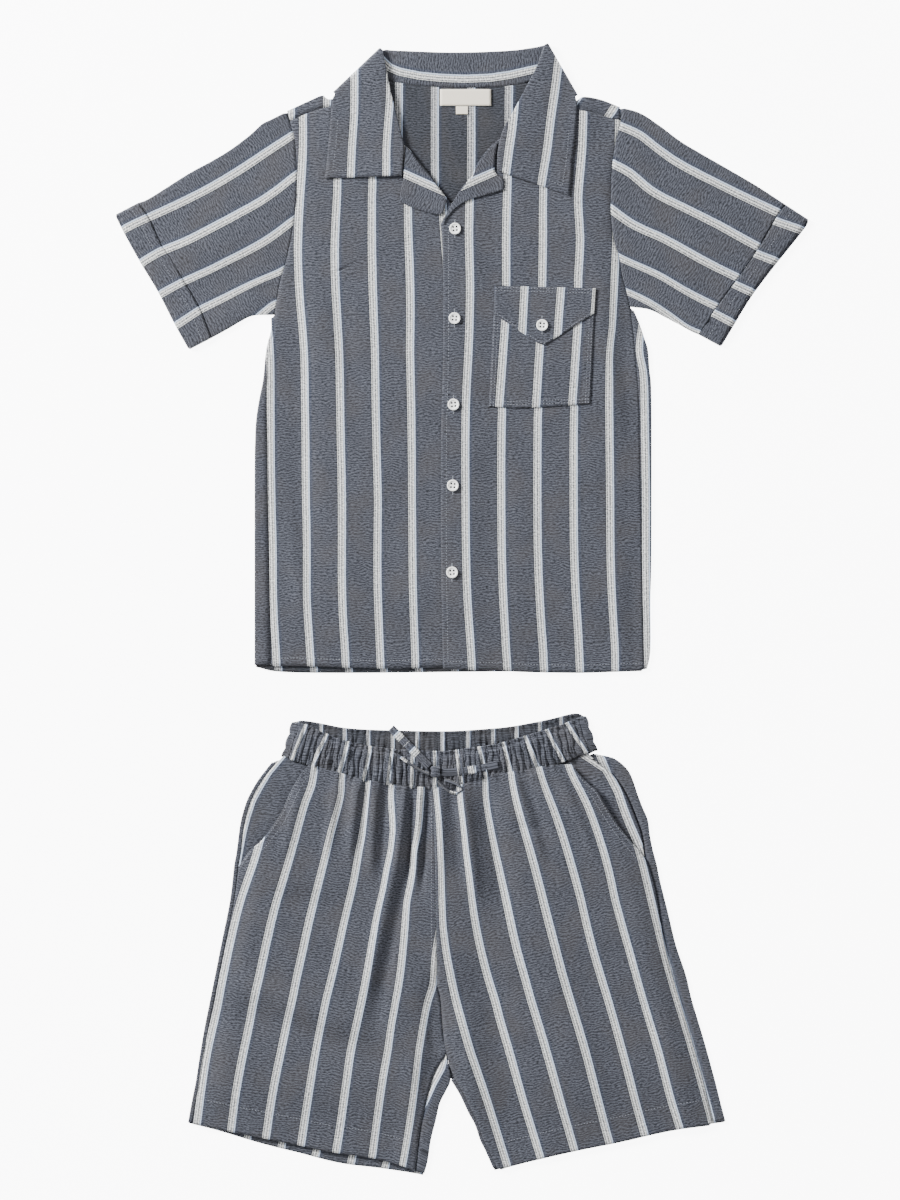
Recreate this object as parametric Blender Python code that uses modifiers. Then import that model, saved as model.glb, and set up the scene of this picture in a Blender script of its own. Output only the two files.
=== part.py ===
"""A child's striped camp shirt and drawstring shorts, laid flat: shirt above, shorts below.

Tables are in millimetres on the cutting table, across from its left edge and down from its top
edge, as (across, down). Heights above the table are in millimetres too. Right and left are the
wearer's, so a right piece lies on the table's left. place() turns all of them to metres.
"""

import math

import bmesh
import bpy
import numpy as np

MM = 0.001
LAYOUT_MIDDLE = (462.0, 609.25)

# Cloth
CLOTH = 1.2
WRAP_CLOTH = 1.0
CUFF_CLOTH = 2.0
SEAM_GAP = 0.4
PLY_RISE = 1.7
FOLD_RADIUS = 0.9
FLAT_LEVEL = CLOTH / 2
TOP_LEVEL = FLAT_LEVEL + 2 * FOLD_RADIUS
FOLD_INSET = FOLD_RADIUS + CLOTH / 2
LIP = 6.0
UNDERARM_CLEAR = 0.08

# Buttons, 18 ligne
BUTTON_RADIUS = 5.75
BUTTON_THICK = 2.3
BUTTON_HOLE_RADIUS = 0.85
BUTTON_HOLE_OUT = 1.75
BUTTON_GAP = 0.3
BUTTON_STEPS = 14
# Shares of the radius and of the thickness, from the middle of the dish round to the middle below
BUTTON_PROFILE = [(0.0, 0.6), (0.58, 0.6), (0.8, 1.0), (1.0, 0.65), (0.8, 0.0), (0.0, 0.0)]

# Waistband
GATHERS = 53
FRONT_STEPS_PER_GATHER = 3
BACK_STEPS_PER_GATHER = 2
GATHER_HEIGHT = 1.2
BAND_BACK_TOP = 1.4
BAND_FRONT_UNDER = 3.0
BAND_FRONT_TOP = 4.4
BAND_CROWN = 1.0
BAND_CROWN_SHARES = (0.3, 1.0, 0.3)
BAND_FOLD_REACH = 1.8

# Drawstring
TIE_WIDTH = 8.0
TIE_THICK = 1.4

# Shirt seams and edges, from top to bottom
SHOULDER_EDGE_R = [(287, 111), (310, 100.5), (323, 95.5), (333, 99), (381, 80)]
SHOULDER_SEAM_R = [(290, 121), (310, 112.5), (323, 108.5), (333, 106), (380, 92)]
SHOULDER_EDGE_L = [(532, 84), (560, 95), (574, 101.5), (583, 97), (600, 99.5), (620, 107)]
SHOULDER_SEAM_L = [(535, 99), (556, 104), (574, 109), (583, 111), (595, 114), (621, 121)]
ARMHOLE_R = [(287, 113), (290, 122), (295, 140), (297, 165), (297, 195), (295, 215), (291, 240),
             (286, 262), (280, 283), (274.5, 315)]
ARMHOLE_L = [(621, 109), (621, 121), (617, 135), (614, 150), (611, 180), (611, 220), (615, 245),
             (619, 256), (622, 275), (626, 290), (630, 307)]
SIDE_EDGE_R = [(271, 318), (271, 330), (267, 345), (265, 360), (263, 380), (259, 400), (256, 420),
               (255, 440), (254.5, 480), (254.5, 665)]
SIDE_SEAM_R = [(274.5, 315), (274, 330), (270.5, 345), (268.5, 360), (267.5, 380), (267, 400),
               (268, 450), (269, 520), (270, 580), (271.5, 665)]
SIDE_EDGE_L = [(633.8, 310.5), (640, 325), (645, 340), (648, 350), (649.5, 370), (651.5, 400),
               (651.5, 550), (650.5, 600), (650.5, 650), (647, 669)]
SIDE_SEAM_L = [(630, 307), (633, 330), (635, 350), (639, 400), (640, 450), (641, 500), (642, 550),
               (642.6, 600), (643.5, 650), (643.5, 669)]
NECK_SEAM = [(381, 78), (388, 80), (393, 82), (420, 86), (450, 88), (490, 88), (510, 86), (525, 84),
             (532, 82.5)]
NECKLINE_R = [(380, 92), (385, 101), (391, 113), (396, 128), (402, 144)]
NECKLINE_L = [(535, 99), (524, 111), (512, 125), (501, 138)]
ROLL_R = [(402, 144), (410, 150), (420, 163), (430, 175), (437, 185), (445, 196), (451, 204)]
ROLL_L = [(501, 138), (490, 147), (482, 157), (475, 168), (472, 176), (462, 188), (452, 204),
          (447, 213), (441, 224)]
PLACKET_L = [(441, 224), (442.5, 250), (443, 350), (441, 440), (441, 560), (442.5, 650), (443, 668)]
UNDERLAP_R = [(451, 204), (460, 218), (464.5, 230), (464.5, 664.5)]
HEM_FRONT_R = [(271.5, 666.5), (300, 666), (340, 667.5), (380, 668.5), (420, 668), (464.5, 666)]
HEM_FRONT_L = [(443, 669), (487, 670.5), (500, 670), (520, 672), (577, 673), (613, 672), (643.5, 671)]
HEM_BACK = [(256, 667), (282, 672), (350, 673), (452, 672), (560, 671), (620, 670.5), (649, 669)]

# Sleeves: upper edge from the shoulder out, lower edge from the underarm out, cuff line down
SLEEVE_TOP_R = [(286, 112), (270, 120), (262, 124), (250, 135), (230, 150), (210, 162), (188, 174),
                (150, 198), (138, 203)]
SLEEVE_LOW_R = [(274, 315), (253, 316), (240, 322), (230, 328), (211, 338.5)]
CUFF_LINE_R = [(138, 203), (149, 219), (160, 243), (170, 257), (180, 275), (190, 292), (200, 310),
               (211, 338.5)]
CUFF_EDGE_R = [(115, 215), (125, 235), (140, 262), (158, 292), (175, 325), (189, 350)]
SLEEVE_TOP_L = [(621, 107.5), (640, 113), (660, 126), (680, 141), (700, 153), (740, 176), (760, 188),
                (786, 205)]
SLEEVE_LOW_L = [(630.5, 307), (650, 310), (668, 319), (690, 331), (699, 335)]
CUFF_LINE_L = [(786, 205), (778, 215), (759, 248), (739, 277), (717, 307), (699, 335)]
CUFF_EDGE_L = [(809, 220), (805, 228), (790, 247), (770, 272), (750, 299), (733, 327), (721, 347)]
CUFF_UNDER_SHOWS = 3.0

# Lapels turned out of the front facings
LAPEL_TOP_R = [(405.5, 146), (411, 152), (420, 164.5), (430, 176.5), (437, 186.5), (445, 197.5),
               (447, 201)]
LAPEL_LOW_R = [(399.5, 202), (403, 203.5), (410, 207), (425, 212), (438, 215), (443, 213)]
LAPEL_CORNER_R = [(405.5, 146), (404.5, 160), (403.5, 178), (401, 190), (399.5, 202)]
LAPEL_TOP_L = [(442.5, 222), (448, 212.5), (453, 203.5), (463, 188.5), (473, 177), (476, 169),
               (483, 158), (491, 148.5), (498.3, 142)]
LAPEL_LOW_L = [(443, 224), (447, 218), (452, 211.5), (458, 206.5), (466, 201.5), (480, 197), (495, 193),
               (504, 190)]
LAPEL_CORNER_L = [(498.3, 142), (496.2, 150), (495, 160), (494.5, 170), (497, 175), (503.5, 178.5),
                  (504, 190)]

# Collar: stations from the right leaf's end, round the back, to the left leaf's end.
# Columns: roll point, outer edge point, depth of the stand under the roll
LEAF_R = [
    ((402, 176), (325, 179), 4),
    ((403.5, 160), (327, 160), 5),
    ((404, 145), (328.5, 143), 6),
    ((400, 128), (330, 127), 7),
    ((396, 112), (331, 114), 8),
    ((391, 92), (332, 104), 9),
    ((387, 72), (333, 98), 9),
]
COLLAR_FOLD_R = ((380, 47.5), (333, 92), 9)
COLLAR_BACK = [
    ((386, 49.5), (338, 96), 26.5),
    ((393, 50.2), (346, 101), 31.5),
    ((406, 50.8), (362, 108), 33.5),
    ((428, 51.7), (400, 115), 34.8),
    ((450, 52.3), (450, 118), 35.5),
    ((475, 52), (500, 117), 35.8),
    ((500, 51), (532, 112.5), 36),
    ((517, 49.8), (552, 107.5), 35.2),
    ((528, 48.2), (564, 103), 34.5),
    ((537, 46.8), (571, 100), 29),
]
COLLAR_FOLD_L = ((548, 43), (578, 95), 9)
LEAF_L = [
    ((537, 66), (577, 104), 9),
    ((525, 89), (576.5, 114), 9),
    ((514, 110), (575.5, 128), 8),
    ((503, 130), (574, 145), 7),
    ((498, 148), (572, 162), 6),
    ((497, 160), (571, 178), 5),
    ((497, 171), (569, 196), 4),
]
COLLAR_FALL_DEPTH = 118
COLLAR_FOLD_STEPS = 5
COLLAR_MIDDLE = (455.0, 130.0)
FALL_STEPS = 5
STAND_STEPS = 2
ROLL_TURNS = (180, 120, 60)

# Chest pocket, flap, labels and buttons
POCKET_LEFT = [(494.6, 291), (488.6, 407)]
POCKET_RIGHT = [(595.4, 292), (590, 404)]
POCKET_LOW = [(488.6, 407), (530, 408), (590, 404)]
FLAP_TOP = [(494.4, 286), (595.6, 288.6)]
FLAP_LEFT = [(494.4, 286), (495, 315)]
FLAP_RIGHT = [(595.6, 288.6), (594, 313.7)]
FLAP_LOW = [(495, 315), (537, 343), (544.5, 345.5), (550, 342), (594, 313.7)]
BUTTONS = [(455, 229), (454.5, 318.5), (453.5, 404.7), (452.8, 485.6), (452.1, 572.4)]
FLAP_BUTTON = (542, 325.4)
LABEL = [(440, 89.5), (491, 106)]
TAB = [(456, 106.6), (468, 114.5)]
LABEL_THICK = 1.0

# Shorts edges and seams, from top to bottom
LEG_EDGE_R = [(281, 757), (272, 762), (264, 772), (258, 780), (252, 790), (247, 800), (243, 812),
              (240, 825), (238, 840), (236, 855), (234, 866), (230, 900), (222, 940), (216, 970),
              (210, 1000), (204, 1030), (199, 1060), (196, 1080), (192, 1100), (188, 1122)]
LEG_SEAM_STEP_R = 4.5
LEG_EDGE_L = [(600, 750), (612, 757), (620, 762), (628, 770), (633, 780), (638, 795), (643, 808),
              (648, 820), (650, 835), (653, 850), (657, 865), (660, 880), (668, 912), (676, 945),
              (686, 975), (692, 1000), (704, 1040), (715, 1080), (720, 1100), (725.5, 1121)]
LEG_SEAM_L = [(590, 759), (600, 763), (612, 772), (622, 785), (630, 800), (638, 820), (643, 835),
              (647, 862), (655, 890), (665, 950), (680, 1000), (690, 1035), (700, 1070), (712, 1121)]
OPENING_R = [(309, 767), (300, 775), (290, 793), (280, 815), (262, 840), (252, 848), (245, 857),
             (238.7, 867)]
OPENING_L = [(572, 767), (580, 775), (590, 785), (597, 791), (605, 805), (620, 828), (640, 852),
             (647, 862)]
FACING_HIDDEN_R = [(320, 770.5), (311, 790), (298, 818), (280, 845), (264, 864), (252, 884)]
FACING_HIDDEN_L = [(560, 770), (573, 792), (590, 815), (608, 840), (626, 862), (640, 884)]
FACING_CORNER_R = (285.8, 759.5)
FACING_SIDE_END = 884
FACING_STEP = 2.0
WAIST_R = [(309, 767), (320, 769.5), (340, 775.5), (360, 781.5), (380, 784.5), (400, 788), (420, 789.5),
           (437, 790.5)]
WAIST_L = [(437, 790.5), (460, 787.5), (480, 780.5), (500, 775.5), (520, 773.5), (545, 768.5), (572, 767)]
CENTRE = [(437, 790.5), (437, 985)]
INSEAM_R = [(437, 985), (432.5, 1000), (428, 1015), (423, 1040), (420, 1065), (419, 1090), (417, 1130),
            (415, 1171)]
CROTCH_R = [(438.8, 1000), (442.5, 1040), (447.2, 1064), (448, 1080), (445, 1090), (440, 1103),
            (436, 1120), (431, 1140), (428, 1160), (424.5, 1173)]
CROTCH_L = [(437.6, 985), (440.8, 1000), (444.2, 1040), (449.4, 1065)]
INSEAM_EDGE_L = [(451, 1080), (460, 1095), (468, 1112), (475, 1125), (480, 1140), (485, 1150),
                 (493, 1168)]
INSEAM_SEAM_L = [(454.5, 1077), (463.5, 1093), (471.5, 1110), (478.5, 1124), (483.5, 1139), (488.5, 1149),
                 (496.5, 1167)]
HEM_FRONT_LEG_R = [(192.5, 1123.5), (228, 1131), (263, 1138), (298, 1145), (332, 1152), (368, 1157),
                   (400, 1165), (415, 1171)]
HEM_BACK_LEG_R = [(189, 1123), (220, 1131), (260, 1143), (300, 1153), (340, 1163), (380, 1168),
                  (413, 1173), (423, 1175)]
HEM_LEG_L = [(499.2, 1171), (505, 1168), (540, 1159), (580, 1150), (620, 1142), (650, 1135), (680, 1129),
             (712, 1125)]
HEM_BACK_LEG_L = [(494.5, 1170), (505, 1167.5), (540, 1158), (580, 1149.5), (620, 1141.5), (650, 1134.5),
                  (680, 1128.5), (724, 1122)]
BACK_WAIST_R = [(286, 759), (300, 764), (320, 768), (360, 773), (400, 775), (440, 776)]
BACK_WAIST_L = [(441, 776), (450, 776), (490, 774), (530, 771), (570, 764), (593, 753.5)]
BACK_CENTRE_R = [(440, 776), (448.6, 1078)]
BACK_CENTRE_L = [(441, 776), (449.9, 1078)]

# Waistband edges, left to right on the front and back layers
BAND_TOP_FRONT = [(294, 723), (303, 723), (320, 731), (340, 739), (360, 744), (380, 747), (400, 749),
                  (440, 751), (460, 749), (480, 746), (500, 743), (520, 737), (540, 731), (560, 725),
                  (580, 717), (584, 717)]
BAND_LOW_FRONT = [(284, 756), (300, 762.5), (320, 768.5), (340, 774.5), (360, 780.5), (380, 783.5),
                  (400, 787), (420, 788.5), (440, 789.5), (460, 786.5), (480, 779.5), (500, 774.5),
                  (520, 772.5), (545, 767.5), (570, 759.5), (595, 749.5)]
BAND_TOP_BACK = [(294, 722), (303, 720.5), (320, 723), (340, 727), (360, 729), (400, 730.5), (450, 731),
                 (490, 728.5), (510, 726.5), (530, 723), (550, 719), (570, 714), (578, 713.5), (584, 716)]
BAND_LOW_BACK = [(284, 757), (300, 763), (320, 767), (360, 772), (400, 774), (450, 775), (490, 773),
                 (530, 770), (570, 763), (595, 751)]

# Drawstring routes: across, down, height above the table
TIE_END_R = [(429.5, 766.5, 8.2), (424, 761, 8.0), (416, 753, 7.8), (407, 744, 7.0), (399, 736, 5.4),
             (391, 728, 4.0)]
TIE_END_L = [(441.2, 771.5, 8.0), (448, 772.3, 7.6), (458, 771.6, 7.4), (468, 770.3, 7.4), (484, 767.5, 7.4),
             (498, 764.5, 7.4)]
TIE_LOOP_R = [(429.5, 774.5, 9.6), (420, 770, 9.6), (408, 762, 9.4), (398, 755, 9.0), (394.5, 751.5, 8.6),
              (397, 750, 8.0)]
TIE_LOOP_L = [(437.5, 781, 8.4), (443, 786, 8.2), (450, 791.5, 7.8), (458, 793, 7.6), (463, 789, 7.8),
              (458, 784.5, 8.4), (451, 781.5, 8.8), (444.5, 779.5, 9.2)]
TIE_LOOP_WIDTH = 4.0
TIE_LOOP_TILT = 60
TIE_STEPS = 8
TIE_LOOP_STEPS_L = 12
KNOT_ROUNDING = 1.2
KNOT_MIDDLE = (435.5, 771.5)
KNOT_SIZE = (9.0, 10.0, 4.0)

# Soft folds of the top layers. Columns: from, to, half width, height
SHIRT_FOLDS = [
    ((300, 300), (360, 420), 16, 0.5),
    ((606, 300), (570, 430), 14, 0.5),
    ((620, 350), (634, 430), 8, -0.4),
    ((280, 380), (284, 600), 9, -0.3),
    ((340, 480), (352, 640), 22, 0.4),
    ((520, 470), (512, 650), 24, 0.4),
    ((470, 648), (502, 662), 6, 0.7),
    ((560, 560), (600, 640), 18, 0.4),
]
SHORTS_FOLDS = [
    ((395, 792), (402, 860), 8, -1.1),
    ((402, 860), (365, 1030), 10, -1.1),
    ((425, 800), (418, 890), 7, -0.8),
    ((412, 800), (408, 900), 6, 0.9),
    ((350, 785), (338, 860), 9, -0.9),
    ((372, 792), (366, 880), 9, 0.9),
    ((324, 780), (300, 900), 10, 0.8),
    ((478, 800), (486, 900), 8, -0.8),
    ((460, 800), (466, 900), 8, 0.8),
    ((500, 790), (522, 900), 9, 0.8),
    ((520, 826), (562, 832), 6, -0.6),
    ((550, 778), (590, 880), 9, 0.7),
    ((330, 990), (300, 1080), 20, 0.6),
    ((222, 1040), (206, 1110), 10, 0.5),
    ((540, 940), (590, 1110), 22, 0.6),
    ((436, 1008), (434, 1048), 7, -0.4),
]
SLEEVE_FOLDS = [
    ((640, 300), (720, 330), 9, 0.7),
    ((640, 200), (740, 260), 16, 0.5),
    ((160, 260), (270, 240), 16, 0.5),
    ((215, 320), (262, 300), 10, 0.5),
]
LOWEST_TOP_LEVEL = FLAT_LEVEL + CLOTH + SEAM_GAP

# Where the layers rise and sink: each pair is the start and the end of a soft step
FALL_LIFT_LOW = (COLLAR_FALL_DEPTH + 5, COLLAR_FALL_DEPTH + 50)
FALL_LIFT_R = (300, 328)
FALL_LIFT_L = (583, 610)
SHIRT_LOFT = 0.8
SHIRT_LOFT_R = (262, 310)
SHIRT_LOFT_L = (590, 642)
SHIRT_LOFT_TOP = (120, 220)
PLACKET_CLIMB = (466, 498)
FLAP_CLIMB = (279, 290)
FACING_NEAR_R = (370, 318)
FACING_NEAR_L = (520, 566)
FACING_NEAR_LOW = (905, 880)
SHORTS_RISE = 0.7
SHORTS_LOFT = 0.5
SHORTS_LOFT_LOW = (1000, 900)
SHORTS_WAIST_LOW = (860, 800)
INSEAM_RISE = 0.3
SLEEVE_RISE = 0.9
CUFF_RISE = 0.4

# Steps of the nets
ARMHOLE_STEPS = 8
SIDE_STEPS = 9
SHOULDER_STEPS = 4
LEG_STEPS = 14
LEG_LOW_STEPS = 9
LEG_ACROSS_STEPS = 9
INSEAM_STEPS_R = 8
INSEAM_STEPS_L = 5
CENTRE_STEPS = 7
OPENING_STEPS = 7
FACING_STEPS = 6
BACK_ACROSS_STEPS = 6
BACK_CENTRE_STEPS = 9


# Small helpers

def place(across, down, height):
    """Metres in the set's own frame, for a point of the cutting table."""
    return ((across - LAYOUT_MIDDLE[0]) * MM, (LAYOUT_MIDDLE[1] - down) * MM, height * MM)


def ease(low, high, value):
    """0 up to low, 1 from high on, with a soft start and end between."""
    share = np.clip((value - low) / (high - low), 0.0, 1.0)
    return share * share * (3.0 - 2.0 * share)


def along(points, steps):
    """steps + 1 points at equal distances along a chain of straight pieces."""
    points = np.array(points, float)
    lengths = np.linalg.norm(np.diff(points, axis=0), axis=1)
    reach = np.concatenate([[0.0], np.cumsum(lengths)])
    wanted = np.linspace(0.0, reach[-1], steps + 1)
    return np.stack([np.interp(wanted, reach, column) for column in points.T], axis=1)


def edge(*stretches):
    """Stretches of (points, steps), one after the other, as one edge."""
    sampled = [along(points, steps) for points, steps in stretches]
    return np.concatenate([sampled[0]] + [stretch[1:] for stretch in sampled[1:]])


def moved(points, across=0.0, down=0.0):
    return [(point[0] + across, point[1] + down) for point in points]


def net_between(top, bottom, left, right):
    """A net of points between four edges, top and bottom from left to right, sides from top down."""
    s = np.linspace(0.0, 1.0, len(top))[None, :, None]
    t = np.linspace(0.0, 1.0, len(left))[:, None, None]
    across = (1 - t) * top[None] + t * bottom[None]
    down = (1 - s) * left[:, None] + s * right[:, None]
    corners = ((1 - s) * (1 - t) * top[0] + s * (1 - t) * top[-1]
               + (1 - s) * t * bottom[0] + s * t * bottom[-1])
    return across + down - corners


def folds_height(across, down, folds):
    """Sum of soft ridges and troughs, each fading past its ends."""
    total = np.zeros_like(np.asarray(across, float))
    for (x0, y0), (x1, y1), half_width, height in folds:
        length = math.hypot(x1 - x0, y1 - y0)
        ux, uy = (x1 - x0) / length, (y1 - y0) / length
        run = (across - x0) * ux + (down - y0) * uy
        side = (across - x0) * uy - (down - y0) * ux
        fade = ease(-0.35 * length, 0.2 * length, run) * (1 - ease(0.8 * length, 1.35 * length, run))
        total = total + height * fade * np.exp(-(side / half_width) ** 2)
    return total


# Heights of the layers above the table, to the middle of the cloth

def neck_lift(across, down):
    """The collar's fall lies under the back's top, and lifts all that lies on it."""
    over_fall = 1 - ease(*FALL_LIFT_LOW, down)
    return 2 * FOLD_RADIUS * over_fall * ease(*FALL_LIFT_R, across) * (1 - ease(*FALL_LIFT_L, across))


def shirt_back_level(across, down):
    return FLAT_LEVEL + neck_lift(across, down)


def shirt_top_level(across, down):
    loft = ease(*SHIRT_LOFT_R, across) * (1 - ease(*SHIRT_LOFT_L, across)) * ease(*SHIRT_LOFT_TOP, down)
    level = TOP_LEVEL + SHIRT_LOFT * loft + folds_height(across, down, SHIRT_FOLDS)
    return np.maximum(level, LOWEST_TOP_LEVEL) + neck_lift(across, down)


def shirt_left_level(across, down):
    """The left front climbs over the right one at the placket."""
    return shirt_top_level(across, down) + PLY_RISE * (1 - ease(*PLACKET_CLIMB, across))


def pocket_level(across, down):
    return shirt_left_level(across, down) + PLY_RISE


def flap_level(across, down):
    return pocket_level(across, down) + PLY_RISE * ease(*FLAP_CLIMB, down)


def lapel_level(across, down):
    return shirt_top_level(across, down) + PLY_RISE


def lapel_left_level(across, down):
    return shirt_left_level(across, down) + PLY_RISE


def near_opening(across, down):
    """1 over a side pocket's facing, falling to 0 beyond it."""
    return (ease(*FACING_NEAR_R, across) + ease(*FACING_NEAR_L, across)) * ease(*FACING_NEAR_LOW, down)


def facing_level(across, down):
    return np.full_like(np.asarray(across, float), TOP_LEVEL)


def shorts_top_level(across, down):
    level = TOP_LEVEL + SHORTS_RISE + folds_height(across, down, SHORTS_FOLDS)
    loft = SHORTS_LOFT * (ease(*SHORTS_LOFT_LOW, down) + ease(*SHORTS_WAIST_LOW, down))
    level = np.maximum(level + loft, LOWEST_TOP_LEVEL)
    lifted = np.maximum(level, TOP_LEVEL + PLY_RISE)
    share = near_opening(across, down)
    return level + (lifted - level) * share


def flat_level(across, down):
    return np.full_like(np.asarray(across, float), FLAT_LEVEL)


# Solids

def material(name, colour, roughness, metallic=0.0):
    made = bpy.data.materials.new(name)
    made.use_nodes = True
    shader = made.node_tree.nodes["Principled BSDF"]
    shader.inputs["Base Color"].default_value = (*colour, 1.0)
    shader.inputs["Roughness"].default_value = roughness
    shader.inputs["Metallic"].default_value = metallic
    return made


def new_object(name, mesh, collection):
    made = bpy.data.objects.new(name, mesh)
    collection.objects.link(made)
    return made


def move_to(made, collection):
    for holder in list(made.users_collection):
        holder.objects.unlink(made)
    collection.objects.link(made)


def grid_mesh(name, points, ring=False):
    """A grid primitive whose corners go to points[row][column], in metres. A ring joins its two sides."""
    rows, columns = points.shape[:2]
    shape = bmesh.new()
    bmesh.ops.create_grid(shape, x_segments=columns - 1, y_segments=rows - 1, size=0.5)
    for vert in shape.verts:
        column = round((vert.co.x + 0.5) * (columns - 1))
        row = round((0.5 - vert.co.y) * (rows - 1))
        vert.co = place(*points[row, column])
    if ring:
        bmesh.ops.remove_doubles(shape, verts=shape.verts, dist=1e-6)
    mesh = bpy.data.meshes.new(name)
    shape.to_mesh(mesh)
    shape.free()
    mesh.shade_smooth()
    return mesh


def thicken(made, thickness):
    wall = made.modifiers.new("Cloth wall", "SOLIDIFY")
    wall.thickness = thickness * MM
    wall.offset = 0.0
    wall.use_even_offset = True


def cloth(name, points, surface, thickness=CLOTH, ring=False, collection=None):
    """A cloth wall around a net of points with heights."""
    made = new_object(name, grid_mesh(name, points, ring), collection or SET)
    thicken(made, thickness)
    made.data.materials.append(surface)
    return made


def raised(net, level):
    """The net's points with their heights from a level function."""
    return np.concatenate([net, level(net[..., 0], net[..., 1])[..., None]], axis=2)


def panel(name, net, level, surface=None, thickness=CLOTH):
    return cloth(name, raised(net, level), surface or STRIPED_CLOTH, thickness)


def outward(points, inner):
    """Unit vectors square to a chain of points, away from the inner chain."""
    run = np.gradient(points, axis=0)
    square = np.stack([run[:, 1], -run[:, 0]], axis=1)
    square /= np.linalg.norm(square, axis=1)[:, None]
    side = np.sign(np.sum(square * (points - inner), axis=1))
    return square * np.where(side == 0, 1.0, side)[:, None]


def turned_edge(name, edge_points, seam_points, top_level, low_level):
    """The strip of a back that turns over its own edge on to the front, as far as the seam."""
    out = outward(edge_points, seam_points)
    middle = edge_points - out * FOLD_INSET
    top = top_level(seam_points[:, 0], seam_points[:, 1])
    low = low_level(middle[:, 0], middle[:, 1])
    radius = (top - low) / 2
    middle = edge_points - out * (radius + CLOTH / 2)[:, None]
    seam = seam_points + out * SEAM_GAP / 2
    columns = [np.concatenate([seam, top[:, None]], axis=1)]
    for turn in (0, 45, 90, 135, 180):
        reach = radius * math.sin(math.radians(turn))
        height = low + radius + radius * math.cos(math.radians(turn))
        columns.append(np.concatenate([middle + out * reach[:, None], height[:, None]], axis=1))
    columns.append(np.concatenate([middle - out * LIP, low[:, None]], axis=1))
    helper = cloth(name, np.stack(columns, axis=1), STRIPED_CLOTH, WRAP_CLOTH, collection=HELPERS)
    helper.hide_render = True
    helper.display_type = "WIRE"
    return helper


def join(made, helper):
    union = made.modifiers.new(f"Join {helper.name}", "BOOLEAN")
    union.operation = "UNION"
    union.solver = "EXACT"
    union.object = helper


def flat_tube(name, top, bottom, left, right, level, low, thickness, under_shift=None):
    """A tube of cloth laid flat: a top net with heights, a fold along each side, and the same net below."""
    net = net_between(top, bottom, left, right)
    heights = level(net)
    inset = thickness / 2
    rows, columns = net.shape[:2]
    sections = []
    for column in range(columns):
        line = net[:, column]
        height = heights[:, column]
        ends = []
        for end, inner in ((0, 1), (-1, -2)):
            out = line[end] - line[inner]
            out /= np.linalg.norm(out)
            radius = (height[end] - low) / 2
            ends.append((line[end] - out * (radius + inset), out, radius))
        upper = np.concatenate([[ends[0][0]], line[1:-1], [ends[1][0]]])
        shift = np.zeros(2) if under_shift is None else under_shift * column / (columns - 1)
        section = [(*point, z) for point, z in zip(upper, height)]
        section += arc(*ends[1], low, shift)
        section += [(*(point + shift), low) for point in upper[::-1]]
        section += arc(*ends[0], low, shift)[::-1]
        section.append(section[0])
        sections.append(section)
    return cloth(name, np.array(sections), STRIPED_CLOTH, thickness, ring=True)


def arc(middle, out, radius, low, shift):
    """The two points between the top and the bottom of a fold."""
    found = []
    for turn in (60, 120):
        reach = radius * math.sin(math.radians(turn))
        height = low + radius + radius * math.cos(math.radians(turn))
        found.append((*(middle + out * reach + shift * (turn / 180)), height))
    return found


# Shirt

def armhole(table, shift):
    """An armhole, with a point where the shoulder seam meets it."""
    line = moved(table, shift)
    return edge((line[:2], 1), (line[1:], ARMHOLE_STEPS))


def shirt_back():
    side_r = along(moved(SIDE_EDGE_R, FOLD_INSET), SIDE_STEPS)
    side_l = along(moved(SIDE_EDGE_L, -FOLD_INSET), SIDE_STEPS)
    left = np.concatenate([armhole(ARMHOLE_R, SEAM_GAP / 2), side_r[1:]])
    right = np.concatenate([armhole(ARMHOLE_L, -SEAM_GAP / 2), side_l[1:]])
    left[-1, 1] = HEM_BACK[0][1]
    right[-1, 1] = HEM_BACK[-1][1]
    neck = moved(NECK_SEAM, 0, SEAM_GAP)
    shoulder_r, shoulder_l = moved(SHOULDER_EDGE_R, 0, FOLD_INSET), moved(SHOULDER_EDGE_L, 0, FOLD_INSET)
    top = edge((shoulder_r, 3), (neck, 6), (shoulder_l, 3))
    top[0] = left[0]
    top[-1] = right[0]
    bottom = along(HEM_BACK, 12)
    bottom[0] = left[-1]
    bottom[-1] = right[-1]
    back = panel("shirt_back", net_between(top, bottom, left, right), shirt_back_level)
    for name, edge_points, seam_points, steps in (
        ("turned_side_right", SIDE_EDGE_R, SIDE_SEAM_R, SIDE_STEPS),
        ("turned_side_left", SIDE_EDGE_L, SIDE_SEAM_L, SIDE_STEPS),
        ("turned_shoulder_right", SHOULDER_EDGE_R, SHOULDER_SEAM_R, SHOULDER_STEPS),
        ("turned_shoulder_left", SHOULDER_EDGE_L, SHOULDER_SEAM_L, SHOULDER_STEPS),
    ):
        edge_line = along(edge_points, steps)
        seam_line = along(seam_points, steps)
        seam_line[0] += UNDERARM_CLEAR * (seam_line[1] - seam_line[0])
        join(back, turned_edge(name, edge_line, seam_line, shirt_top_level, shirt_back_level))


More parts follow.
